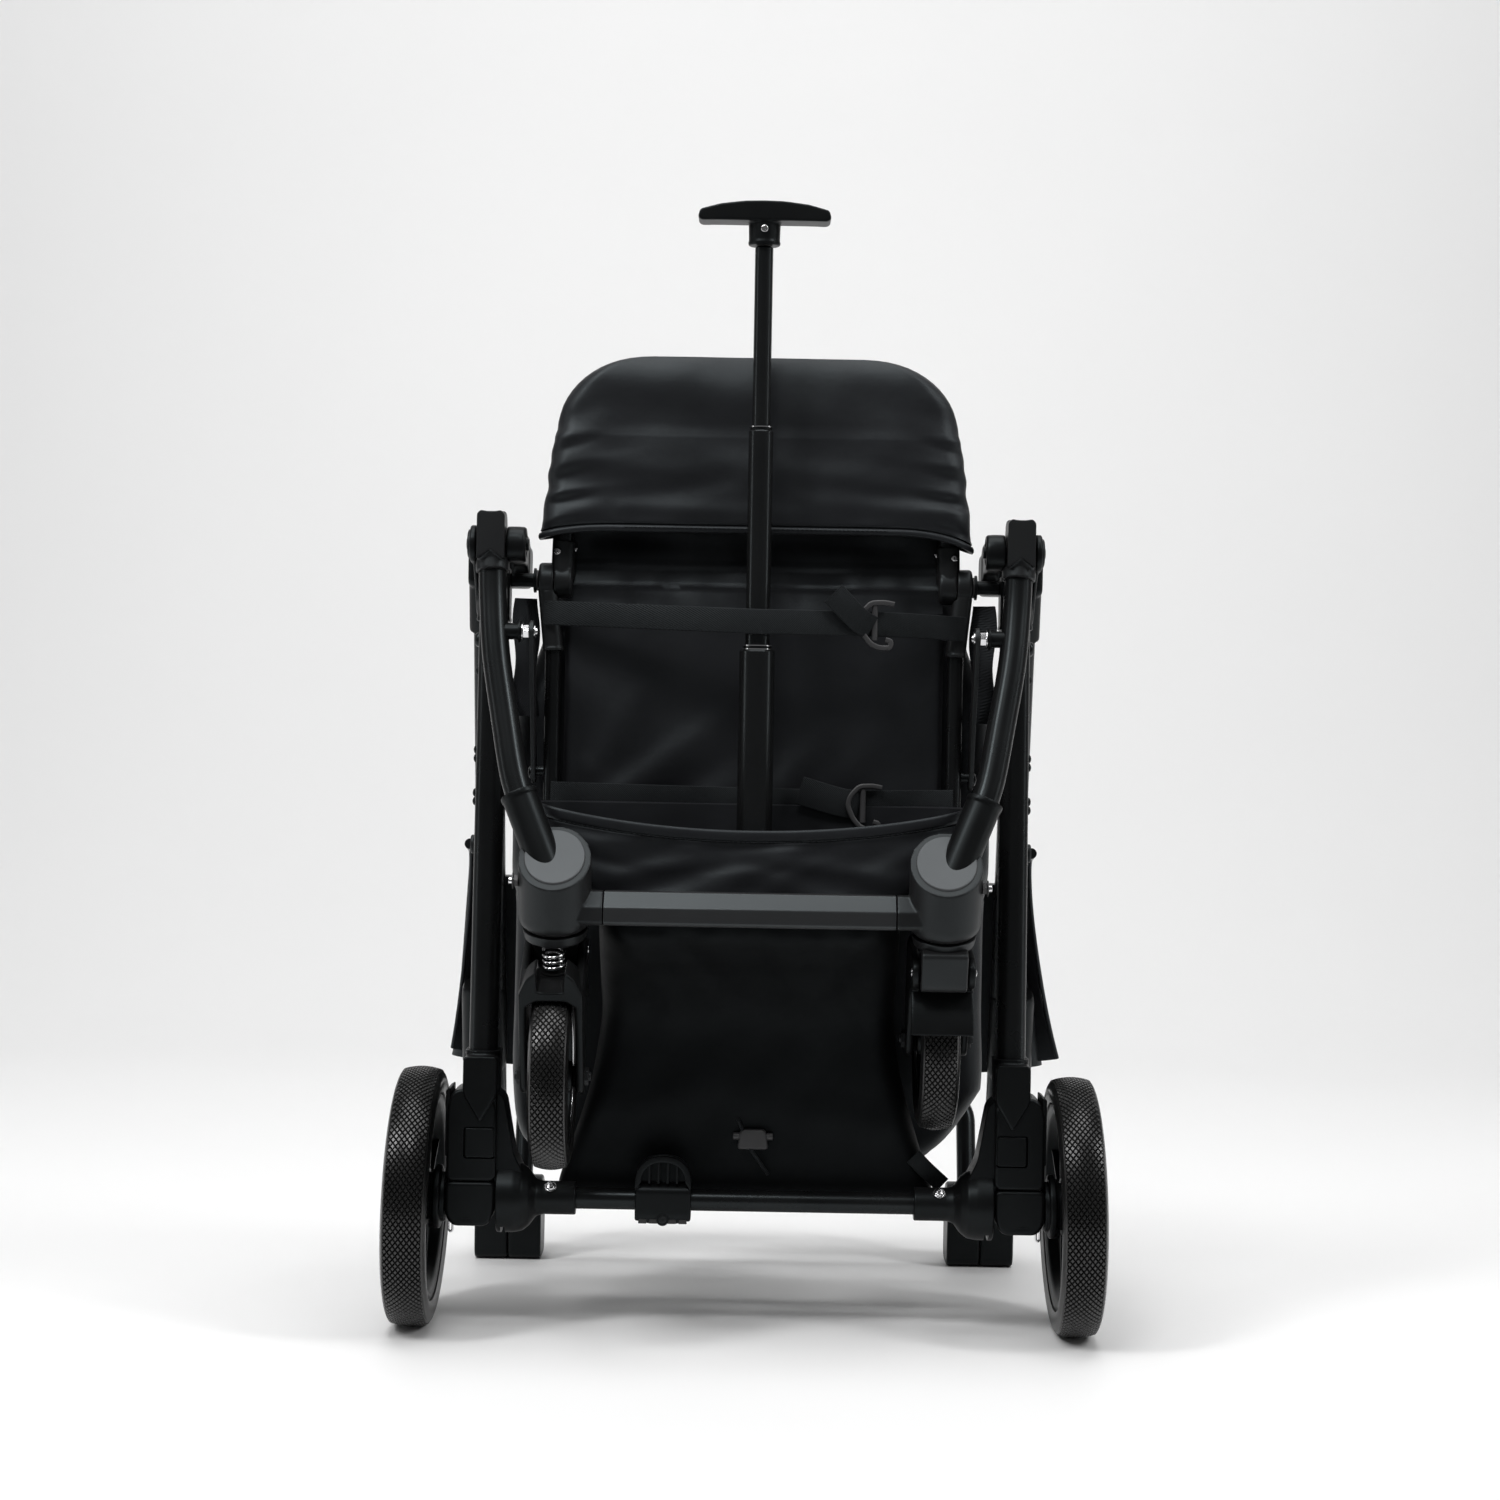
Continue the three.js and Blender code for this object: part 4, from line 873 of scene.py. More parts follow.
def forks():
    collar = turned([(-38.4, 0), (-38.4, 18.6), (-36.8, 20.8), (-30.4, 22), (-30.4, 0)], 0.8, axis="Z")
    y, z = FORK_PIN_Y, FORK_PIN_Z
    lobe = plate([(y - 10.5, z + 18), (y - 10.5, z - 8), (y - 6, z - 12), (y + 7, z - 12), (y + 11, z - 7),
                  (y + 11, z + 18)], "X", -15.6, 15.6, 2.6, 4, 5)
    cheek = [(y + 8, z - 3), (y + 6, z + 7), (y - 3, z + 9), (-24, -50), (-42, -54), (-50, -60), (-51, -72),
             (-46, -118), (-43, -133), (-33, -139), (-23, -133), (-20, -118), (-10, -80), (y + 4, z - 10)]
    cheeks = [plate(cheek, "X", low, low + 5.5, 1.6, 5, 6) for low in (16, -21.5)]
    arm = [(9, -56), (9.5, -41), (16, -46.5), (21.4, -58), (21.4, -66.5), (16, -66.5), (10, -62.4)]
    crown = plate(both_halves(arm), "Y", -50.5, -26, 2.4, 2.4, 4)
    shelf = block(-18, 18, -28, -4, -60.2, -56.4)
    wheel_y, wheel_z = -CASTER_TRAIL, -FRONT_WHEEL_DROP
    reach = FRONT_WHEEL_RADIUS + 3.2
    turns = [math.radians(a) for a in range(28, 71, 3)]
    fender = prism([(wheel_y + r * math.cos(a), wheel_z + r * math.sin(a))
                    for r, run in ((reach, turns), (reach + 4, turns[::-1])) for a in run], "X", -21, 21)
    bosses = [pin(8, low, high, "X") for low, high in ((13.7, 17.5), (-17.5, -13.7))]
    bosses = [moved(b, 0, wheel_y, wheel_z) for b in bosses]
    fork = joined(*cheeks, crown, shelf, fender, *bosses)
    wire = [(6.8 * math.cos(TAU * t), -15 + 6.8 * math.sin(TAU * t), -54.6 + 14.3 * t / 3.5)
            for t in np.linspace(0, 3.5, 127)]
    spring = tube(wire, 1.25, 16, (0, 0, 1))
    seat = turned([(-56.3, 0), (-56.3, 9.4), (-55.3, 9.4), (-55.3, 0)], 0.3, 2, 48, axis="Z")
    for side, sign in SIDES:
        at = caster_matrix(sign)
        piece(f"caster_collar_{side}", placed(collar, at), charcoal, f"swivel_{side}",
              [f"caster_neck_{side}"])
        piece(f"caster_lobe_{side}", placed(lobe, at), charcoal, f"swivel_{side}")
        coil = piece(f"spring_coil_{side}", placed(spring, at), chrome, f"swivel_{side}",
                     [f"caster_spring_{side}"])
        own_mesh(coil)
        piece(f"spring_seat_{side}", placed(moved(seat, 0, -15), at), black, f"fork_{side}")
        piece(f"fork_shell_{side}", moulding(placed(fork, at), 0.8, 4), black, f"fork_{side}",
              [f"caster_fork_{side}"], even=False)
        dots = [placed(rivet(3.0, 1.2), at @ facing((s * 21.3, y, z), (s, 0, 0))) for s in (-1, 1)]
        piece(f"fork_pin_heads_{side}", joined(*dots), chrome, f"fork_{side}")
        seats = [at @ facing((s * 21.2, wheel_y, wheel_z), (s, 0, 0)) for s in (-1, 1)]
        nuts = [placed(hex_nut(6.2, 3.0), seat_at) for seat_at in seats]
        ends = [placed(pin(3, 0, 4.6, "Z", 0.6, 24), seat_at) for seat_at in seats]
        piece(f"front_axle_nuts_{side}", joined(*nuts, *ends), charcoal, f"fork_{side}")


# ------------------------------------------------------------------ front frame
def front_frame():
    line = smooth_line([(181.5, FOLD_Y - 1, FOLD_Z - 9), (180, -29, 505), (176.5, -39, 468), (169, -51, 426),
                        (161.5, -62, 388), (154, -69, 365)], 10)
    piece("front_leg_{side}", tube(line, 9.6, 40), coat, "front_frame", ["front_leg_tube_{side}"])
    stub = joined(pin(5.7, 159.4, 174, "X"), pin(7.6, 160.2, 161.8, "X", 0.4))
    piece("link_spacer_{side}", moved(stub, *LINK_BOLT), black, "front_frame")
    thread = joined(pin(2.6, 154.3, 160, "X", 0.5, 32), pin(6.2, 158.6, 159.4, "X", 0.2))
    piece("link_bolt_{side}", moved(thread, *LINK_BOLT), chrome, "front_frame")
    hardware("link_nut_{side}", hex_nut(5, 4.1), chrome, "front_frame", (158.6, *LINK_BOLT[1:]), IN)
    end = joined(pin(2.6, 148.6, 151.2, "X", 0.5, 32), pin(4.4, 150, 151.2, "X", 0.3, 32))
    piece("link_bolt_end_{side}", moved(end, *LINK_BOLT), chrome, "seat")
    cheek = plate([(-14, -10), (-14, 19), (-9, 22.6), (5, 22.6), (11, 15), (12, 4), (12, -12), (0, -14)], "X",
                  172.3, 191.5, 1.4, 4, 5)
    cheek = moved(cheek, *FOLD_AXIS)
    slab = plate([(172.3, 533), (181.9, 540), (191.5, 533), (191.5, 564), (189, 566.6), (181.9, 565.6),
                  (174.8, 566.6), (172.3, 564)], "Y", -38, -14, 1.2, 1, 3)
    socket = tube([(181.6, FOLD_Y - 1, FOLD_Z - 6), (181, FOLD_Y - 4, FOLD_Z - 19)], 11.6, 48)
    bore = tube([(181.5, FOLD_Y - 1, FOLD_Z - 10), (180.3, FOLD_Y - 5.8, FOLD_Z - 40)], 9.9, 48)
    block_mesh = moulding(joined(cheek, socket, slab), 0.7, 3, [bore])
    piece("hinge_block_{side}", block_mesh, charcoal, "front_frame", ["front_hinge_block_{side}"],
          even=False)
    run = plate(CROSSBAR_SECTION, "X", -97.8, 97.8, 0.5, 1.0, 3)
    piece("crossbar", moved(run, 0, CASTER.y, CROSSBAR_Z), satin_grey, "front_frame", ["front_crossbar"])


def rear_hinges():
    cap = bar(rounded_rect(22.4, 31, 8, 8), leg_point(492), leg_point(529))
    rim = bar(rounded_rect(23.4, 32, 8.5, 8), leg_point(491.5), leg_point(494))
    cheek = plate([(-34, 538), (-34, 550), (-28, 556), (-18, 557), (-10, 554), (16, 534), (22, 524),
                   (22, 496), (8, 496), (-6, 514), (-22, 530)], "X", 192.1, 195, 0.9, 5, 6)
    link = joined(block(182, 193, 6, 22, 500, 532),
                  moved(pin(13, 192.1, 196.8, "X", 1.2, 72), *FOLD_AXIS))
    room = moved(pin(24.4, 160, 192.1, "X", 0.3, 64), *FOLD_AXIS)
    solid = moulding(joined(cap, rim, cheek, link), 0.8, 4, [room])
    piece("rear_hinge_{side}", solid, black, "rear_frame", ["hinge_bracket_{side}"], even=False)
    disc = lathe(filleted([(196.4, 0), (196.4, 10.4), (198, 10), (198.6, 8.6), (198.6, 6.4), (197.8, 6),
                           (197.8, 0)], 0.5, 3), "X", 96)
    piece("fold_pivot_cap_{side}", moved(disc, *FOLD_AXIS), charcoal, "rear_frame",
          ["hinge_pin_{side}"])
    shaft = moved(pin(4, 156.4, 199.4, "X", 0.6, 32), *FOLD_AXIS)
    piece("fold_pivot_{side}", shaft, black, "rear_frame")
    arm = plate([(-34, 538), (-34, 550), (-28, 556), (-18, 557), (44, 553), (58, 542), (58, 518), (34, 522),
                 (30, 532), (4, 533), (-8, 533), (-22, 531)], "X", 161, 171.5, 1.6, 5, 6)
    boss = turned([(158.4, 0), (158.4, 5.6), (159.4, 5.8), (159.4, 8.4), (158.2, 9), (158.2, 11.4),
                           (159.6, 12.4), (171.6, 12.4), (171.6, 0)], 0.6)
    boss = moved(boss, *FOLD_AXIS)
    shoulder = moved(plate([(-15, -15), (15, -15), (15, 15), (-15, 15)], "X", 160, 204, 3, 8, 6), 0, 48, 532)
    cup = tube([handle_run(488), handle_run(520)], 14, 48)
    hole = tube([handle_run(470), handle_run(500)], 11.3, 48)
    bracket = moulding(joined(arm, boss, shoulder, cup), 0.9, 4, [hole])
    piece("handle_shoulder_{side}", bracket, black, "handle", ["handle_bracket_{side}"], even=False)
    spacer = joined(pin(4.9, 151.6, 170.6, "X"), pin(8.6, 153, 154.8, "X", 0.4))
    spacer = moved(spacer, *SEAT_AXIS)
    piece("seat_spacer_{side}", spacer, black, "rear_frame", ["seat_pivot_spacer_{side}"])
    piece("seat_washer_{side}", moved(pin(7.2, 151.8, 153, "X", 0.3), *SEAT_AXIS), buckle_grey,
          "rear_frame")


def on_handle(z):
    return HANDLE_TOP[1] + (KNUCKLE_Y - HANDLE_TOP[1]) * (z - HANDLE_TOP[2]) / (KNUCKLE_Z - HANDLE_TOP[2])


def handle_run(z, sideways=0.0):
    """Place on the middle line of the handle tube at a height, moved outwards by sideways."""
    share = (z - HANDLE_LOW_Z) / (HANDLE_TOP[2] - HANDLE_LOW_Z)
    return HANDLE_LOW_X + (HANDLE_TOP[0] - HANDLE_LOW_X) * share + sideways, on_handle(z), z


# ------------------------------------------------------------------ cloth helpers
def creases(a, b, lines):
    """Height at the places (a, b) of soft ridges: (a0, b0, a1, b1, width, height), fading to the far end."""
    out = np.zeros(len(a))
    for a0, b0, a1, b1, width, height in lines:
        da, db = a1 - a0, b1 - b0
        t = unit(((a - a0) * da + (b - b0) * db) / (da * da + db * db))
        away = np.hypot(a - a0 - t * da, b - b0 - t * db)
        out += height * bell(away, width) * (1 - t * t)
    return out


def ripple(a, b, seed, count, length, height):
    """Seeded sum of long soft waves."""
    rng = np.random.RandomState(seed)
    out = np.zeros(len(a))
    for _ in range(count):
        heading, phase, k = rng.uniform(0, TAU), rng.uniform(0, TAU), TAU / (length * rng.uniform(0.6, 1.7))
        out += np.sin((a * math.cos(heading) + b * math.sin(heading)) * k + phase)
    return out * height / math.sqrt(count)


def ring(z, half, y0, y1, radius, straight=40, corner=6):
    """Level rounded rectangle with the same number of points whatever its size."""
    w, d = half, (y1 - y0) / 2
    r = min(radius, w * 0.98, d * 0.98)
    mid = (y0 + y1) / 2
    corners = [(w - r, d - r, 0), (r - w, d - r, 1), (r - w, r - d, 2), (w - r, r - d, 3)]
    pts = []
    for k, (x, y, q) in enumerate(corners):
        arc = [(x + r * math.cos((q + i / corner) * TAU / 4), y + r * math.sin((q + i / corner) * TAU / 4))
               for i in range(corner + 1)]
        pts += arc
        nx, ny, nq = corners[(k + 1) % 4]
        start = arc[-1]
        end = (nx + r * math.cos(nq * TAU / 4), ny + r * math.sin(nq * TAU / 4))
        count = straight if k % 2 == 0 else straight // 3
        pts += [(start[0] + (end[0] - start[0]) * i / count, start[1] + (end[1] - start[1]) * i / count)
                for i in range(1, count)]
    return [(x, y + mid, z) for x, y in pts]


def loft(levels, per_span=8, **settings):
    return [ring(*level, **settings) for level in smooth_line(levels, per_span)]


def grid_of(rows, columns, place):
    """Grid of points; place(t, s) gives each from its shares of the way down and across."""
    return np.array([[place(i / (rows - 1), j / (columns - 1)) for j in range(columns)] for i in range(rows)])


def sheet_of(grid, thick):
    """Closed sheet from a (rows, columns, 3) grid of points, thickened backwards along its normals."""
    g = np.asarray(grid, float)
    n, m = g.shape[:2]
    normal = np.cross(np.gradient(g, axis=0), np.gradient(g, axis=1))
    normal /= np.maximum(np.linalg.norm(normal, axis=2, keepdims=True), 1e-9)
    verts = np.vstack([g.reshape(-1, 3), (g - normal * thick).reshape(-1, 3)])
    off = n * m
    faces = []
    for i in range(n - 1):
        for j in range(m - 1):
            a = i * m + j
            faces.append((a, a + 1, a + m + 1, a + m))
            faces.append((off + a, off + a + m, off + a + m + 1, off + a + 1))
    rim = [*range(m)] + [i * m + m - 1 for i in range(1, n)]
    rim += [(n - 1) * m + j for j in range(m - 2, -1, -1)] + [i * m for i in range(n - 2, 0, -1)]
    for a, b in zip(rim, rim[1:] + rim[:1]):
        faces.append((a, a + off, b + off, b))
    return shape(verts, faces)


def stitches(path, normal, step=3.2, length=2.2, radius=0.32):
    """Row of short threads lying on a line."""
    parts = []
    pts = np.array(spread(path, 0.8))
    run = np.concatenate([[0], np.cumsum(np.linalg.norm(np.diff(pts, axis=0), axis=1))])
    at = 1.0
    while at + length < run[-1]:
        ends = [np.array([np.interp(at + f * length, run, pts[:, k]) for k in range(3)])
                for f in (0, 0.25, 0.75, 1)]
        lift = np.array(normal) * radius
        line = [ends[0] - lift, ends[1] + lift * 0.6, ends[2] + lift * 0.6, ends[3] - lift]
        parts.append(sweep(circle(radius, 6), line, (0.3, 0.9, 0.2)))
        at += step
    return joined(*parts)


def fabric(name, s, look, body, nodes=(), **settings):
    return piece(name, s, look, body, nodes, sharp=60, even=False, **settings)


def strap(path, width, thick, up=(0, 0, 1)):
    """Flat webbing along a path; up is the direction of its width."""
    return sweep(rounded_rect(width, thick, thick * 0.45, 3), path, up)


# ------------------------------------------------------------------ seat frame, bow and link bars
def seat_frame():
    corners = both_halves([(SEAT_TUBE_X, 0, 498), (SEAT_TUBE_X, 0, 300)])
    piece("seat_tube", tube(filleted(corners, 35, 14), 5.5, 36), coat, "seat", ["seat_frame_tube"])
    seam = SEAT_DRUM_SEAM
    drum = turned([(seam + 0.2, 0), (seam + 0.2, 12.5), (149.8, 12.5), (151.2, 11), (151.2, 0)], 0.8)
    foot = bar(rounded_rect(13.6, 16, 5.5, 8), (SEAT_TUBE_X, 0.4, 472), (144.6, 3, 513))
    lip = bar(rounded_rect(14.6, 17, 6, 8), (SEAT_TUBE_X, 0.4, 472), (SEAT_TUBE_X + 0.1, 0.4, 474))
    room = moved(pin(13.4, 110, seam + 0.1, "X", 0.2, 64), *SEAT_AXIS)
    knuckle = joined(moved(drum, *SEAT_AXIS), foot, lip)
    bore = tube([(SEAT_TUBE_X, 0, 460), (SEAT_TUBE_X, 0, 500)], 5.7, 36)
    piece("seat_knuckle_shell_{side}", moulding(knuckle, 0.7, 3, [room, bore]), charcoal, "seat",
          ["seat_knuckle_{side}"], even=False)
    foot_x, foot_y, foot_z = SEAT_TUBE_X - 5, SEAT_Y - 2, SEAT_Z + 4
    corners = both_halves([(foot_x, foot_y, foot_z), (131, -2, 667)])
    piece("bow_tube", tube(filleted(corners, 60, 18), 7.5, 40), coat, "bow", ["front_bow"])
    drum = turned([(127.6, 0), (127.6, 10.8), (129, 12.5), (seam - 0.4, 12.5), (seam - 0.4, 0)], 0.8)
    cup = bar(circle(9.2, 40), (foot_x, foot_y, foot_z - 2), (foot_x - 0.7, foot_y - 0.3, 549))
    room = moved(pin(30, seam - 0.3, 170, "X", 0.2, 64), *SEAT_AXIS)
    bow_drum = moulding(joined(moved(drum, *SEAT_AXIS), cup), 0.7, 3, [room])
    piece("bow_drum_{side}", bow_drum, charcoal, "bow", even=False)
    hardware("bow_screw_in_{side}", hex_screw(2.5, 1.4), chrome, "bow", (126.4, 3.4, 543), IN)
    hardware("bow_screw_out_{side}", hex_screw(2.5, 1.4), chrome, "bow", (138, -4.6, 541), (0.3, -0.95, 0))
    outline = [(-43, 484), (-39, 491), (-31, 492), (-26, 486), (12, 392), (12, 384), (6, 379), (-1, 380),
               (-4, 386)]
    link = plate(outline, "X", 151.1, 154.1, 0.5, 3, 4)
    piece("link_bar_body_{side}", link, charcoal, "seat", ["link_bar_{side}"])
    hardware("link_rivet_{side}", rivet(5, 2.6), coat, "seat", (154, 4, 387), OUT)
    piece("link_pin_{side}", moved(pin(3.5, 144.6, 151.6, "X"), 0, 4, 388), coat, "seat")


# ------------------------------------------------------------------ trolley rod
def trolley_rod():
    stages = [("outer", 12.2, 8.9, 284, 474, "seat"), ("middle", 8.4, 6.6, 434, 624, "rod_middle"),
              ("inner", 6.2, 0, 574, 749, "rod_inner")]
    for name, radius, bore, low, high, body in stages:
        profile = [(low, bore), (low, radius), (high - 1.2, radius), (high, radius - 1), (high, bore)]
        if bore:
            profile.append(profile[0])
        solid = lathe(profile, "Z", 96)
        if name == "outer":
            solid = joined(solid, block(-8, 8, 10.5, -ROD_Y - 6, 288, 312))
        piece(f"rod_{name}", moved(solid, ROD_X, ROD_Y), anodised, body, [f"trolley_{name}_tube"])
        if bore:
            rim = min(radius, bore + 1.6)
            collar = [(high - 3, bore + 0.1), (high - 3, rim - 0.8), (high + 2.6, rim - 0.8),
                      (high + 2.6, bore + 0.1)]
            piece(f"rod_bushing_{name}", moved(lathe(collar + [collar[0]], "Z", 96), ROD_X, ROD_Y),
                  black, body)
            rings = [moved(washer(rim, bore + 0.2, 0.7), ROD_X, ROD_Y, high + k)
                     for k in ((0.1, 2.5) if name == "outer" else (1.6,))]
            piece(f"rod_rings_{name}", joined(*rings), chrome, body)
    boss = [(749.4, 0), (749.4, 10.6), (751.4, 11.2), (752.4, 10.6), (767, 11), (770, 11), (770, 0)]
    boss = moved(turned(boss, 0.5, axis="Z"), ROD_X, ROD_Y)
    upper = [(45.5, 767), (44, 772.6), (30, 776.4), (14, 778.4), (0, 778.8)]
    lower = [(0, 765.2), (30, 765.2), (43, 765), (45.5, 767)]
    outline = [*upper, *[(-a, b) for a, b in upper[-2::-1]], *[(-a, b) for a, b in lower[-2:0:-1]],
               *lower[:-1]]
    handle = moved(plate(outline, "Y", -11.8, 11.8, 4, 2, 4), ROD_X, ROD_Y)
    grip = moulding(joined(boss, handle), 0.7, 5)
    piece("trolley_handle", grip, black, "rod_inner", ["trolley_grip"], even=False)
    hardware("trolley_screw", hex_screw(2.6, 1.2), chrome, "rod_inner", (ROD_X, ROD_Y - 10.7, 759.8), FORWARD)


# ------------------------------------------------------------------ soft goods
def front_cover():
    """Padded panel drawn over the front bow, open at its foot."""
    top, shoulder, wide, tall = 677.4, 77.3, 62, 52
    rows = []

    def level(z, half, y0, y1, round_by):
        rows.append(ring(z, half, y0, y1, round_by, 64, 8))

    for k in range(15):
        a = TAU / 4 * (1 - k / 14)
        squeeze = math.sin(a) ** 6
        level(top - tall + tall * math.sin(a), shoulder + wide * math.cos(a), -16.2 + 9.5 * squeeze,
              11 - 6.5 * squeeze, 14)
    for z in np.linspace(622, 562.4, 32):
        half = np.interp(z, (556, 572, 590, 620, 625.4), (150.4, 148, 145, 141.5, 139.3))
        level(z, half, -17 - 1.6 * (625 - z) / 60, 12.5, 13)
    hem_levels = [(560.6, 0), (560.1, -0.9), (559.5, -0.9), (558.9, 0.8), (557.6, 1.2), (556, 1.1),
                  (554.9, 0.5)]
    for z, out in hem_levels:
        level(z, 150.2 + out, -18.4 - out, 12.5 + out, 13)
    level(554.7, 148.2, -16, 10, 11)
    level(572, 145, -14.6, 9, 10)
    v, f = skin(rows[::-1])
    x, y, z = columns_of(v)
    hang = unit((z - 558) / 8)
    front = unit((-y - 2) / 8)
    side = unit((np.abs(x) - 105) / 30)
    gathers = [(642, 652, 46, 1.2), (629, 648, 58, -1.4), (617, 636, 70, 1.8), (608, 628, 56, -1.7),
               (598, 613, 84, 2.2), (590, 608, 54, -2.0), (581, 592, 92, 2.3), (573, 588, 58, -2.0),
               (567, 575, 74, 2.1), (562, 568, 60, -1.5)]
    pulls = []
    for sign in (-1, 1):
        for k, (z0, z1, run, height) in enumerate(gathers):
            pulls.append((sign * 147, z0 + 2 * sign, sign * (147 - run), z1, 3.6 + (k % 3), height))
    long_folds = [(-120, 650, 30, 610, 14, -1.6), (-30, 655, 110, 622, 14, 1.4), (90, 590, -60, 606, 11, 2.0),
                  (-130, 606, 0, 588, 8, 1.8), (120, 580, 10, 592, 8, -1.7), (-20, 592, -110, 576, 8, -1.7),
                  (-90, 572, 60, 567, 6, 1.5), (130, 572, 20, 578, 7, 1.5)]
    out = creases(x, z, pulls) * (0.2 + 0.8 * side) + creases(x, z, long_folds) * 0.75
    out += ripple(x, z, 4, 7, 60, 0.6)
    v[:, 1] -= out * hang * front
    edge = unit((np.abs(x) - 130) / 9)
    scallop = ripple(z, y * 0.3, 11, 5, 16, 0.6) * unit((650 - z) / 30) * hang
    v[:, 0] += np.sign(x) * edge * scallop
    v[:, 2] -= np.where(z < 570, (8.5 + 2.5 * np.sign(x)) * unit((np.abs(x) - 95) / 56) ** 2.4, 0)
    cover = fabric("front_panel", (v, f), polyester, "bow", ["front_cover"])
    thread = [(a, -19.9, 557.8) for a in np.linspace(-92, 92, 70)]
    piece("front_panel_stitches", stitches(thread, FORWARD, radius=0.26), webbing, "bow")


def curtain():
    """Cloth between the seat panel and the front cover."""
    top, drop, wide = 584, 90, 262
    grid = grid_of(46, 110, lambda t, s: (wide * (s - 0.5), 7.5 - 8 * t * t, top - drop * t))
    flat = grid.reshape(-1, 3)
    x, z = flat[:, 0], flat[:, 2]
    folds = [(-110, 552, 20, 545, 7, -2.2), (100, 548, -30, 553, 7, -2), (-128, 520, -40, 512, 6, 1.4),
             (128, 516, 40, 522, 6, 1.4)]
    soft = ripple(x, z, 21, 6, 42, 1.5) + creases(x, z, folds)
    band = bell(z - 533, 1.1) * 1.6 - np.where((z < 531.5) & (z > 519), 1.2, 0)
    hem_line = bell(z - 518.4, 0.9) * 1.2
    flat[:, 1] -= (soft * unit((top - z) / 12) + band + hem_line) * 0.9 - 0.6
    sheet = fabric("seat_curtain", sheet_of(grid, 1.4), polyester, None)
    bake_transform(sheet)


def seat_panel():
    """Panel between the two legs of the seat frame tube, turned back at its sides."""
    half, top, drop, turned_back = 132, 502, 184, 0.035

    def place(t, s):
        u = 2 * s - 1
        wrap = max(0.0, abs(u) - 1 + turned_back) / turned_back
        return half * u, -3.6 + 3.2 * wrap * wrap + 1.8 * math.sin(math.pi * t), top - drop * t

    grid = grid_of(90, 130, place)
    flat = grid.reshape(-1, 3)
    x, z = flat[:, 0], flat[:, 2]
    folds = [(-95, 372, -8, 436, 11, 3.0), (-80, 350, -8, 408, 10, -2.4), (-50, 345, 0, 392, 11, 2.6),
             (-110, 392, -60, 470, 12, 2.2), (15, 372, 60, 430, 11, 2.6), (35, 352, 96, 430, 12, 2.4),
             (-128, 352, -70, 330, 9, 1.6), (120, 350, 60, 332, 9, 1.6),
             (-125, 480, -60, 462, 12, 1.5), (122, 488, 70, 440, 14, 1.4), (-20, 332, 30, 372, 9, 1.5)]
    soft = creases(x, z, folds) + ripple(x, z, 31, 7, 95, 0.9)
    inside = unit((half - np.abs(x)) / 12)
    flat[:, 1] -= soft * inside - 1.6
    sheet = fabric("seat_panel", sheet_of(grid, 2.4), polyester, "seat")
    seam = [(-120, -4.2, 372), (120, -4.2, 372)]
    piece("seat_panel_stitches", stitches(seam, FORWARD, 3.4, 2.3, 0.3), webbing, "seat")


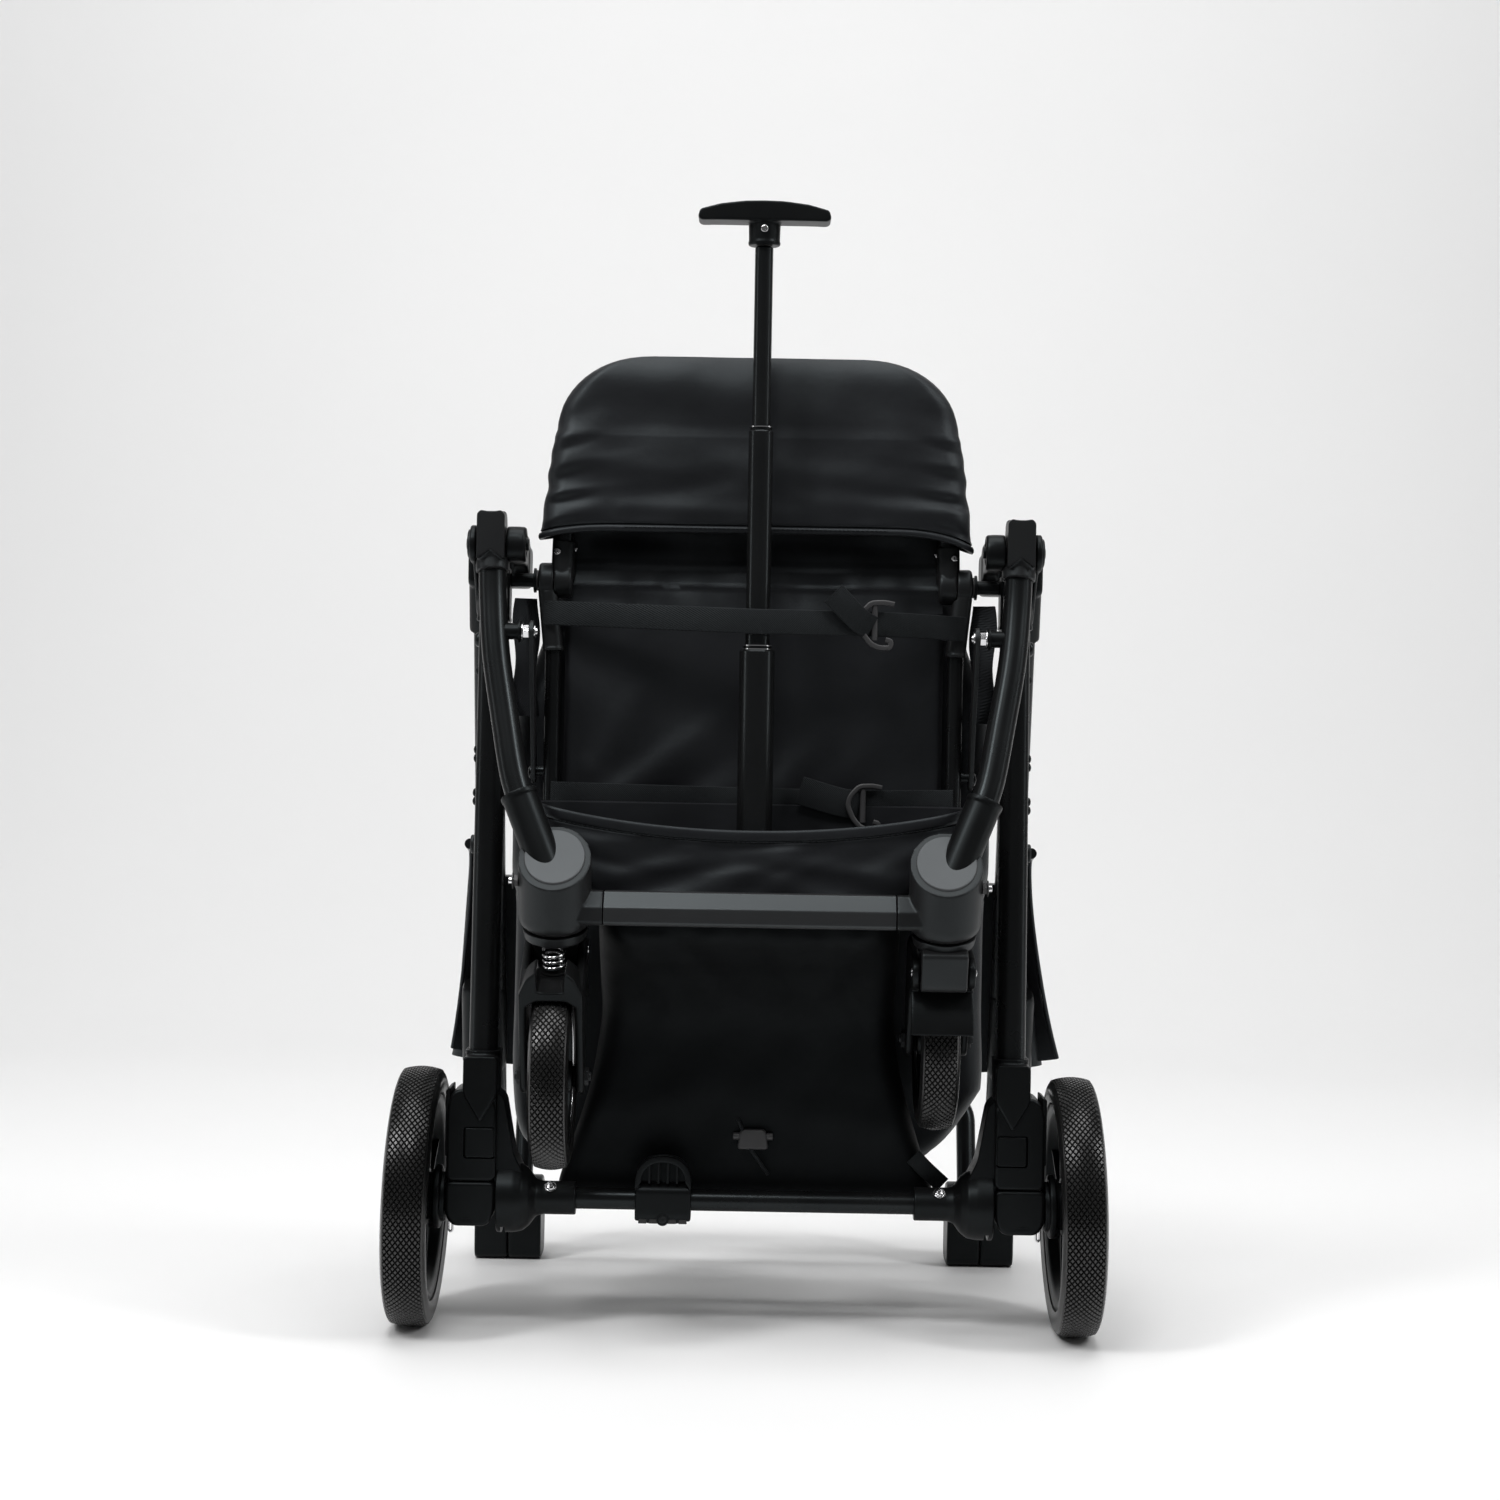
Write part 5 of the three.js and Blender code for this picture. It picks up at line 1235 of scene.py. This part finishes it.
def cabin():
    """Collapsed cabin hanging behind the seat frame, with its rear pocket and its mesh windows."""
    levels = [(100, 118, 80, 108, 12), (107, 146, 74, 112, 18), (124, 164, 67, 120, 20),
              (160, 170, 65, 122, 20), (220, 170, 65, 124, 20), (286, 169.5, 64, 126, 20),
              (324, 169.5, 20, 124, 20), (400, 169, 18, 116, 20), (432, 166, 16, 112, 20),
              (462, 156, 16, 106, 20), (480, 150, 16, 104, 20), (514, 142, 20, 94, 20),
              (526, 130, 34, 80, 18)]
    v, f = skin(loft(levels, 12, straight=60))
    x, y, z = columns_of(v)
    centre_y = 80
    sideways = np.sign(x) * unit((np.abs(x) - 120) / 20) * 0.4
    outwards = np.sign(y - centre_y) * unit((np.abs(y - centre_y) - 14) / 18)
    out = np.stack([sideways, outwards, np.zeros(len(x))], 1)
    around = np.where(np.abs(x) > 128, y + np.sign(x) * 300, x)
    folds = [(-130, 200, 0, 260, 12, 2.4), (130, 180, 20, 250, 12, 2.2), (-100, 430, 40, 470, 12, 2),
             (110, 470, -30, 420, 12, 2), (-60, 120, -20, 220, 10, 1.8), (70, 118, 30, 230, 10, 1.6),
             (-140, 330, -20, 350, 8, 2), (140, 320, 20, 345, 8, 2)]
    soft = ripple(around, z, 41, 9, 70, 1.3) + creases(x, z, folds)
    seam = -2.2 * bell(z - 300, 2.0) - 1.6 * bell(z - 488, 1.6)
    inner = unit((z - 100) / 12) * unit((526 - z) / 12)
    v += out * ((soft + seam) * inner)[:, None] * 0.8
    v[:, 0] *= np.where(x > 0, 1 - 0.14 * unit((160 - z) / 45), 1)
    body = fabric("cabin_bag", (v, f), polyester, "seat", ["cabin_body"])

    def on_back(t, s):
        u, z = 2 * s - 1, 452 - 120 * t
        bulge = 5.0 * (1 - u ** 4) * math.sin(math.pi * min(1, 0.15 + t * 0.85))
        back = 116 - (z - 400) * 0.15 if z > 400 else 116 + (400 - z) * 0.11
        return 100 * u, back + 2.0 + bulge, z

    pocket = grid_of(40, 60, on_back)
    flat = pocket.reshape(-1, 3)
    flat[:, 1] += ripple(flat[:, 0], flat[:, 2], 51, 6, 40, 0.8)
    sheet = fabric("cabin_pocket", sheet_of(pocket[:, ::-1], 1.6), polyester, "seat")
    edge = [(a, 121.5 - 7.8 + 2.2, 452.6) for a in np.linspace(-100, 100, 24)]
    binding = fabric("cabin_pocket_binding", strap(edge, 11, 1.8), hem, "seat")
    mesh = grid_of(50, 14, lambda t, s: (152 + 15 * (1 - s) + 1.4 * math.sin(9 * t + 2 * s),
                                         -6 + 14 * s - 4 * math.sin(3 * t), 508 - 82 * t))
    strip = fabric("mesh_strip_{side}", sheet_of(mesh, 1.2), mesh_fabric, "seat")


def basket():
    """Open bag with a piped hem; its lower part gets a darker, duller cloth as painted shade under the
    crossbar.
    """
    # the height below which the bag's cloth is darkened as painted shade
    wall, painted_shade_below, dip, reach = 2.6, 289, 17, 146
    levels = [(90, 128, 20, 42, 9), (97, 132, 16.5, 45.6, 12), (132, 121, 12, 56, 15),
              (170, 110, 7, 57, 17), (215, 103, 1, 57.5, 18), (245, 103, -22, 50, 20),
              (262, 103, -42, 36, 22), (276, 103, -57, 4, 24), (288, 104, -59.5, -10, 22),
              (300, 112, -58.5, -10, 22), (313, 126, -57, -10, 21.5), (332, 146.5, -56, -10, 21),
              (350, 147.6, -56, -10, 21), (368, 147.8, -56, -10, 21)]
    outside = loft(levels, 7, straight=84, corner=8)
    mouth = outside[-1]

    def offset(row, by, z=None):
        pts = np.array(row)
        nxt, prv = np.roll(pts, -1, 0), np.roll(pts, 1, 0)
        along = nxt - prv
        normal = np.stack([along[:, 1], -along[:, 0], np.zeros(len(pts))], 1)
        normal /= np.maximum(np.linalg.norm(normal, axis=1, keepdims=True), 1e-9)
        pts = pts + normal * by
        if z is not None:
            pts[:, 2] = z
        return [tuple(p) for p in pts]

    hem_rows = [offset(mouth, out, z) for out, z in
                ((0.0, 358.8), (-0.7, 359.4), (0.9, 360.2), (1.3, 362), (1.3, 366), (0.9, 367.6), (0, 368),
                 (-1.2, 367.8), (-wall, 367), (-wall, 360), (-wall, 350))]
    inner_levels = [(z, h - wall, y0 + wall, y1 - wall, max(3, r - wall)) for z, h, y0, y1, r in levels]
    inner_levels[0] = (90 + wall, 124, 24, 39, 7)
    inside = loft(inner_levels[:-2], 7, straight=84, corner=8)[::-1]
    outside = [row for row in outside if row[0][2] < 358.5]
    inside = [row for row in inside if row[0][2] < 349]
    v, f = skin(outside + hem_rows + inside)
    x, y, z = columns_of(v)
    centre = np.interp(z, [c[0] for c in levels], [(c[2] + c[3]) / 2 for c in levels])
    front = unit((centre - y) / 8)
    folds = [(-148, 360, -80, 330, 9, 2.4), (-150, 350, -60, 318, 7, -2.2), (-110, 312, 20, 352, 11, 3.0),
             (-120, 300, -30, 322, 8, -2.4), (-60, 300, 40, 340, 10, 2.6), (148, 356, 70, 322, 9, 2.2),
             (118, 306, -10, 350, 12, 3.0), (125, 302, 50, 320, 8, -2.6), (60, 300, -20, 330, 9, 2.2),
             (-150, 338, -90, 322, 6, 1.8), (150, 336, 95, 320, 6, 1.8), (0, 300, 60, 346, 8, 1.8)]
    low_folds = [(-90, 284, -40, 205, 10, 4.0), (-60, 286, 10, 215, 9, -3.6), (-20, 286, -70, 200, 11, 3.6),
                 (85, 284, 30, 210, 10, 4.0), (50, 286, 90, 200, 9, -3.2), (10, 286, 60, 190, 10, 3.4),
                 (-100, 150, 20, 170, 14, 2.6), (100, 140, -20, 160, 13, 2.4), (0, 110, 0, 180, 16, 1.8)]
    soft = creases(x, z, folds + low_folds) + ripple(x, z, 61, 8, 60, 1.2)
    inner = unit((z - 104) / 12) * unit((360 - z) / 10)
    v[:, 1] -= soft * inner * front * 0.85
    back = unit((y - centre) / 8)
    v[:, 1] += ripple(x, z, 62, 6, 70, 1.0) * inner * back * 0.5
    sag = unit((z - 320) / 40) * front
    v[:, 2] -= sag * dip * unit(1 - (np.abs(x) / reach) ** 2) ** 0.9
    bag = fabric("basket_bag", (v, f), polyester, "seat", ["basket"])
    # faces below the crossbar get the darker cloth: painted shade where the crossbar shades the bag
    bag.data.materials.append(painted_shade_cloth)
    for face in bag.data.polygons:
        if face.center.z < painted_shade_below * MM:
            face.material_index = 1
    line = [(a, -57.8, 359.9 - dip * (1 - (abs(a) / reach) ** 2) ** 0.9) for a in np.linspace(-135, 135, 90)]
    piece("basket_stitches", stitches(line, FORWARD), webbing, "seat")


def straps():
    reach = ROD_Y - 12.3
    upper = [(-146, -8.5, 498), (-138, -12, 497.8), (-100, -25, 496.4), (-50, -43, 494.6),
             (-20, reach + 0.8, 493.6), (2, reach - 0.6, 493), (26, reach + 0.8, 493), (60, -43.5, 493),
             (100, -27, 493), (138, -11.6, 491.8), (146, -8.2, 491.5)]
    path = smooth_line(upper, 8)
    belt = fabric("upper_strap_webbing", strap(path, 17, 1.7), webbing, "seat", ["upper_strap"])
    tail = [(80, -38.5, 490.5), (73, -43.5, 494), (67, -46.8, 499), (60.5, -49.2, 505.5), (53, -51, 513)]
    end = fabric("upper_strap_tail", strap(smooth_line(tail, 6), 17, 1.5, (0.7, 0.1, 0.7)), webbing,
                 "seat")
    buckle("upper_buckle", Vector((82, -38, 493.4)), 0.88)
    lower = [(-140, -6.2, 371), (-100, -8.8, 370.4), (-40, -10.2, 369.6), (20, -10.4, 369), (60, -11, 368.6),
             (90, -10.8, 368.8), (120, -8.6, 369.4), (140, -6.2, 369.8)]
    band = fabric("lower_strap_webbing", strap(smooth_line(lower, 8), 20, 1.6), webbing, "seat")
    tail = [(74, -14.2, 368), (62, -16.6, 370), (48, -17.4, 373.6), (33, -17.6, 378)]
    end = fabric("lower_strap_tail", strap(smooth_line(tail, 6), 20, 1.5, (0.3, 0, 0.95)), webbing,
                 "seat")
    buckle("lower_buckle", Vector((77, -15.4, 367.6)), 0.86)


def cords():
    """Draw cord with its toggle under the basket, and the basket's corner strap."""
    stop = joined(plate([(-11, -7), (11, -7), (9, 7), (-9, 7)], "Y", -3.5, 3.5, 1.6, 3, 4),
                  moved(pin(2.6, -14, 14, "X"), 0, 0, 2))
    piece("basket_toggle", moved(stop, 5, 8.5, 132), buckle_grey, "seat")
    tail = smooth_line([(-8, 12, 150), (-4, 7, 142), (2, 6.4, 128), (10, 7.5, 116), (16, 11, 107)], 8)
    pull = piece("basket_cord", tube(tail, 1.3, 12), webbing, "seat")
    run_length(tail)
    corner = [(118, 14.5, 121), (127, 13.2, 112), (139, 16, 101)]
    patch = fabric("basket_corner_strap", strap(smooth_line(corner, 6), 12, 1.4, (0.7, 0, 0.7)),
                   webbing, "seat")


def run_length(line):
    return sum((Vector(b) - Vector(a)).length for a, b in zip(line, line[1:])) * MM


def buckle(name, at, size):
    """Open cam buckle: a bent ring with a gap on its right, and the bar that the webbing turns round."""
    loop = [(15, 0, 15), (8, 0, 16.5), (-3, 0, 16), (-10.5, 0, 8), (-12.5, 0, 1), (-8.5, 0, -9),
            (-3, 0, -16), (4, 0, -19), (12.5, 0, -18.6), (13, 0, -13.4), (8.6, 0, -12.6)]
    line = np.array(filleted(loop, 3.2, 4)) * size
    bent = sweep(rounded_rect(5.0 * size, 4.2 * size, 1.1, 3), line)
    cross = tube([(0, 0.6, -13 * size), (0, 0.6, 13.5 * size)], 2.3 * size, 16, (1, 0, 0))
    piece(name, moved(joined(bent, cross), *at), buckle_grey, "seat")


# ------------------------------------------------------------------ push handle and hood
def push_handle():
    piece("handle_rod_{side}", tube([handle_run(72), handle_run(HANDLE_TOP[2])], 11, 48), coat,
          "handle", ["handle_tube_{side}"])
    lower = [handle_run(z, 5.5) for z in (153.5, 157, 163, 214, 219, 221)]
    sleeve = sweep(rounded_rect(34, 27, 11, 8), lower, (1, 0, 0), scale=[0.8, 0.92, 1, 1, 0.97, 0.9])
    piece("handle_sleeve_{side}", sleeve, black, "handle")
    crown = [(24 * math.cos(a), 24 * math.sin(a)) for a in np.linspace(0.1, math.pi - 0.1, 30)]
    foot = both_halves([(-22, -32), (-19.5, -37.8), (-14, -40)])
    solids = [prism(filleted(foot, 3, 5) + crown, "X", low, high)
              for low, high in ((185.3, 211), (159, 184.7))]
    halves = [moved(eased(solid, 3.2, segments=4), *KNUCKLE_AXIS) for solid in solids]
    cup = tube([handle_run(46), handle_run(96), handle_run(98)], 14, 48)
    cup = carved(to_mesh("cup", cup), [block(185.3, 230, 150, 340, 38, 120)], "INTERSECT")
    piece("knuckle_cup_{side}", cup, black, "handle")
    piece("knuckle_outer_{side}", halves[0], black, "handle", ["handle_knuckle_{side}"])
    piece("knuckle_inner_{side}", halves[1], black, "grip", ["grip_bow"])
    hub = moved(turned([(210, 0), (210, 12.5), (212.2, 11.8), (212.2, 0)], 0.8, 3, 72), *KNUCKLE_AXIS)
    piece("knuckle_button_{side}", hub, charcoal, "handle")
    corners = both_halves([(176, KNUCKLE_Y + 6, KNUCKLE_Z + 8), (176, 300, 124)])
    piece("grip_tube", tube(filleted(corners, 20, 14), 7.6, 36), coat, "grip")
    foam = spread([(-138, 300, 124), (138, 300, 124)], 1.6)
    ends = [min(1, 0.9 + 0.1 * min(k, len(foam) - 1 - k) / 2) for k in range(len(foam))]
    ends = [e * (0.985 if (k % 4 == 0) else 1.0) for k, e in enumerate(ends)]
    sleeve = sweep(circle(9, 48), foam, (0, 1, 0), scale=ends)
    pad = piece("grip_foam", sleeve, rubber, "grip", even=False)


def hood():
    """Folded hood against the handle tubes: pleated cover, bow, discs and side flaps."""
    top, foot = 305, 155
    start, end = on_handle(top) + 15, on_handle(156) + 15
    rows = []
    for t in np.linspace(0, 1, 75):
        z = top - (top - foot) * t
        half = 207 + 25 * t ** 1.2
        y0 = start + (end - start) * t
        pleat = 2.6 * abs(math.sin(math.pi * t * 5)) * math.sin(math.pi * min(1, t * 1.02))
        rows.append(ring(z, half - 1.5 + pleat * 0.5, y0 + 0.5, y0 + 23 + 3 * t + pleat, 10, 60, 8))
    v, f = skin(rows[::-1])
    x, y, z = columns_of(v)
    lean = start + (end - start) * (top - z) / (top - foot)
    back = unit((y - lean - 14) / 6)
    front = unit((lean + 8 - y) / 6)
    folds = [(-200, 290, 0, 250, 14, 2.5), (200, 280, 20, 230, 14, 2.5), (-150, 180, 60, 200, 12, 2),
             (150, 175, -40, 215, 12, 2)]
    soft = ripple(x, z, 71, 8, 80, 1.6) + creases(x, z, folds)
    v[:, 1] += soft * (back - front * 0.3) * 0.8
    flare = unit((190 - z) / 35) * unit((np.abs(x) - 150) / 70)
    v[:, 2] += flare * np.where(np.abs(x) > 180, (np.abs(x) - 180) * 0.12, 0)
    cover = fabric("hood_folds", (v, f), polyester, "hood", ["hood_cover"])
    half = [(209.6, HOOD_PIVOT[0] + 3, HOOD_PIVOT[1]), (210.5, start + 32, 322), (226, end + 36, 168)]
    hoop = both_halves(half)
    piece("hood_hoop", tube(filleted(hoop, 24, 10), 4, 28), coat, "hood", ["hood_bow"])
    disc = turned([(205.6, 0), (205.6, 6.6), (206.2, 7), (208, 7), (208.6, 6), (208.6, 0)], 0.6, 3, 72)
    piece("hood_disc_{side}", moved(disc, 0, *HOOD_PIVOT), charcoal, "hood")
    for side, spread_by in (("right", 31), ("left", 19)):
        def hem_at(t):
            """Edge of the side flap, from its top (0) to its foot (1)."""
            z = 330 - 162 * t
            return 209 + spread_by * t ** 1.6, on_handle(z) + 2 * math.sin(9 * t), z

        def on_flap(t, s):
            x, y, z = hem_at(t)
            x += 1.6 * math.sin(7 * t + 5 * s) * t - (6 + 22 * t) * s
            return x, y + 14 + 16 * s, z + (3 - 9 * t) * s

        edge = [np.add(hem_at(t), (0.4, 13.4, 0)) for t in np.linspace(0, 1, 40)]
        cloth, binding = sheet_of(grid_of(60, 16, on_flap), 1.6), tube(edge, 1.5, 12, (1, 0, 0))
        if side == "left":
            cloth, binding = mirrored(cloth), mirrored(binding)
        sheet = fabric(f"hood_side_{side}", cloth, polyester, "hood")
        piece(f"hood_binding_{side}", binding, hem, "hood", even=False)


# ------------------------------------------------------------------ build
camera_and_stage()
rear_legs()
hub_housings()
axle()
brake_pedal()
rear_wheels()
front_wheels()
caster_parts()
forks()
front_frame()
rear_hinges()
seat_frame()
trolley_rod()
front_cover()
curtain()
seat_panel()
cabin()
basket()
straps()
cords()
push_handle()
hood()
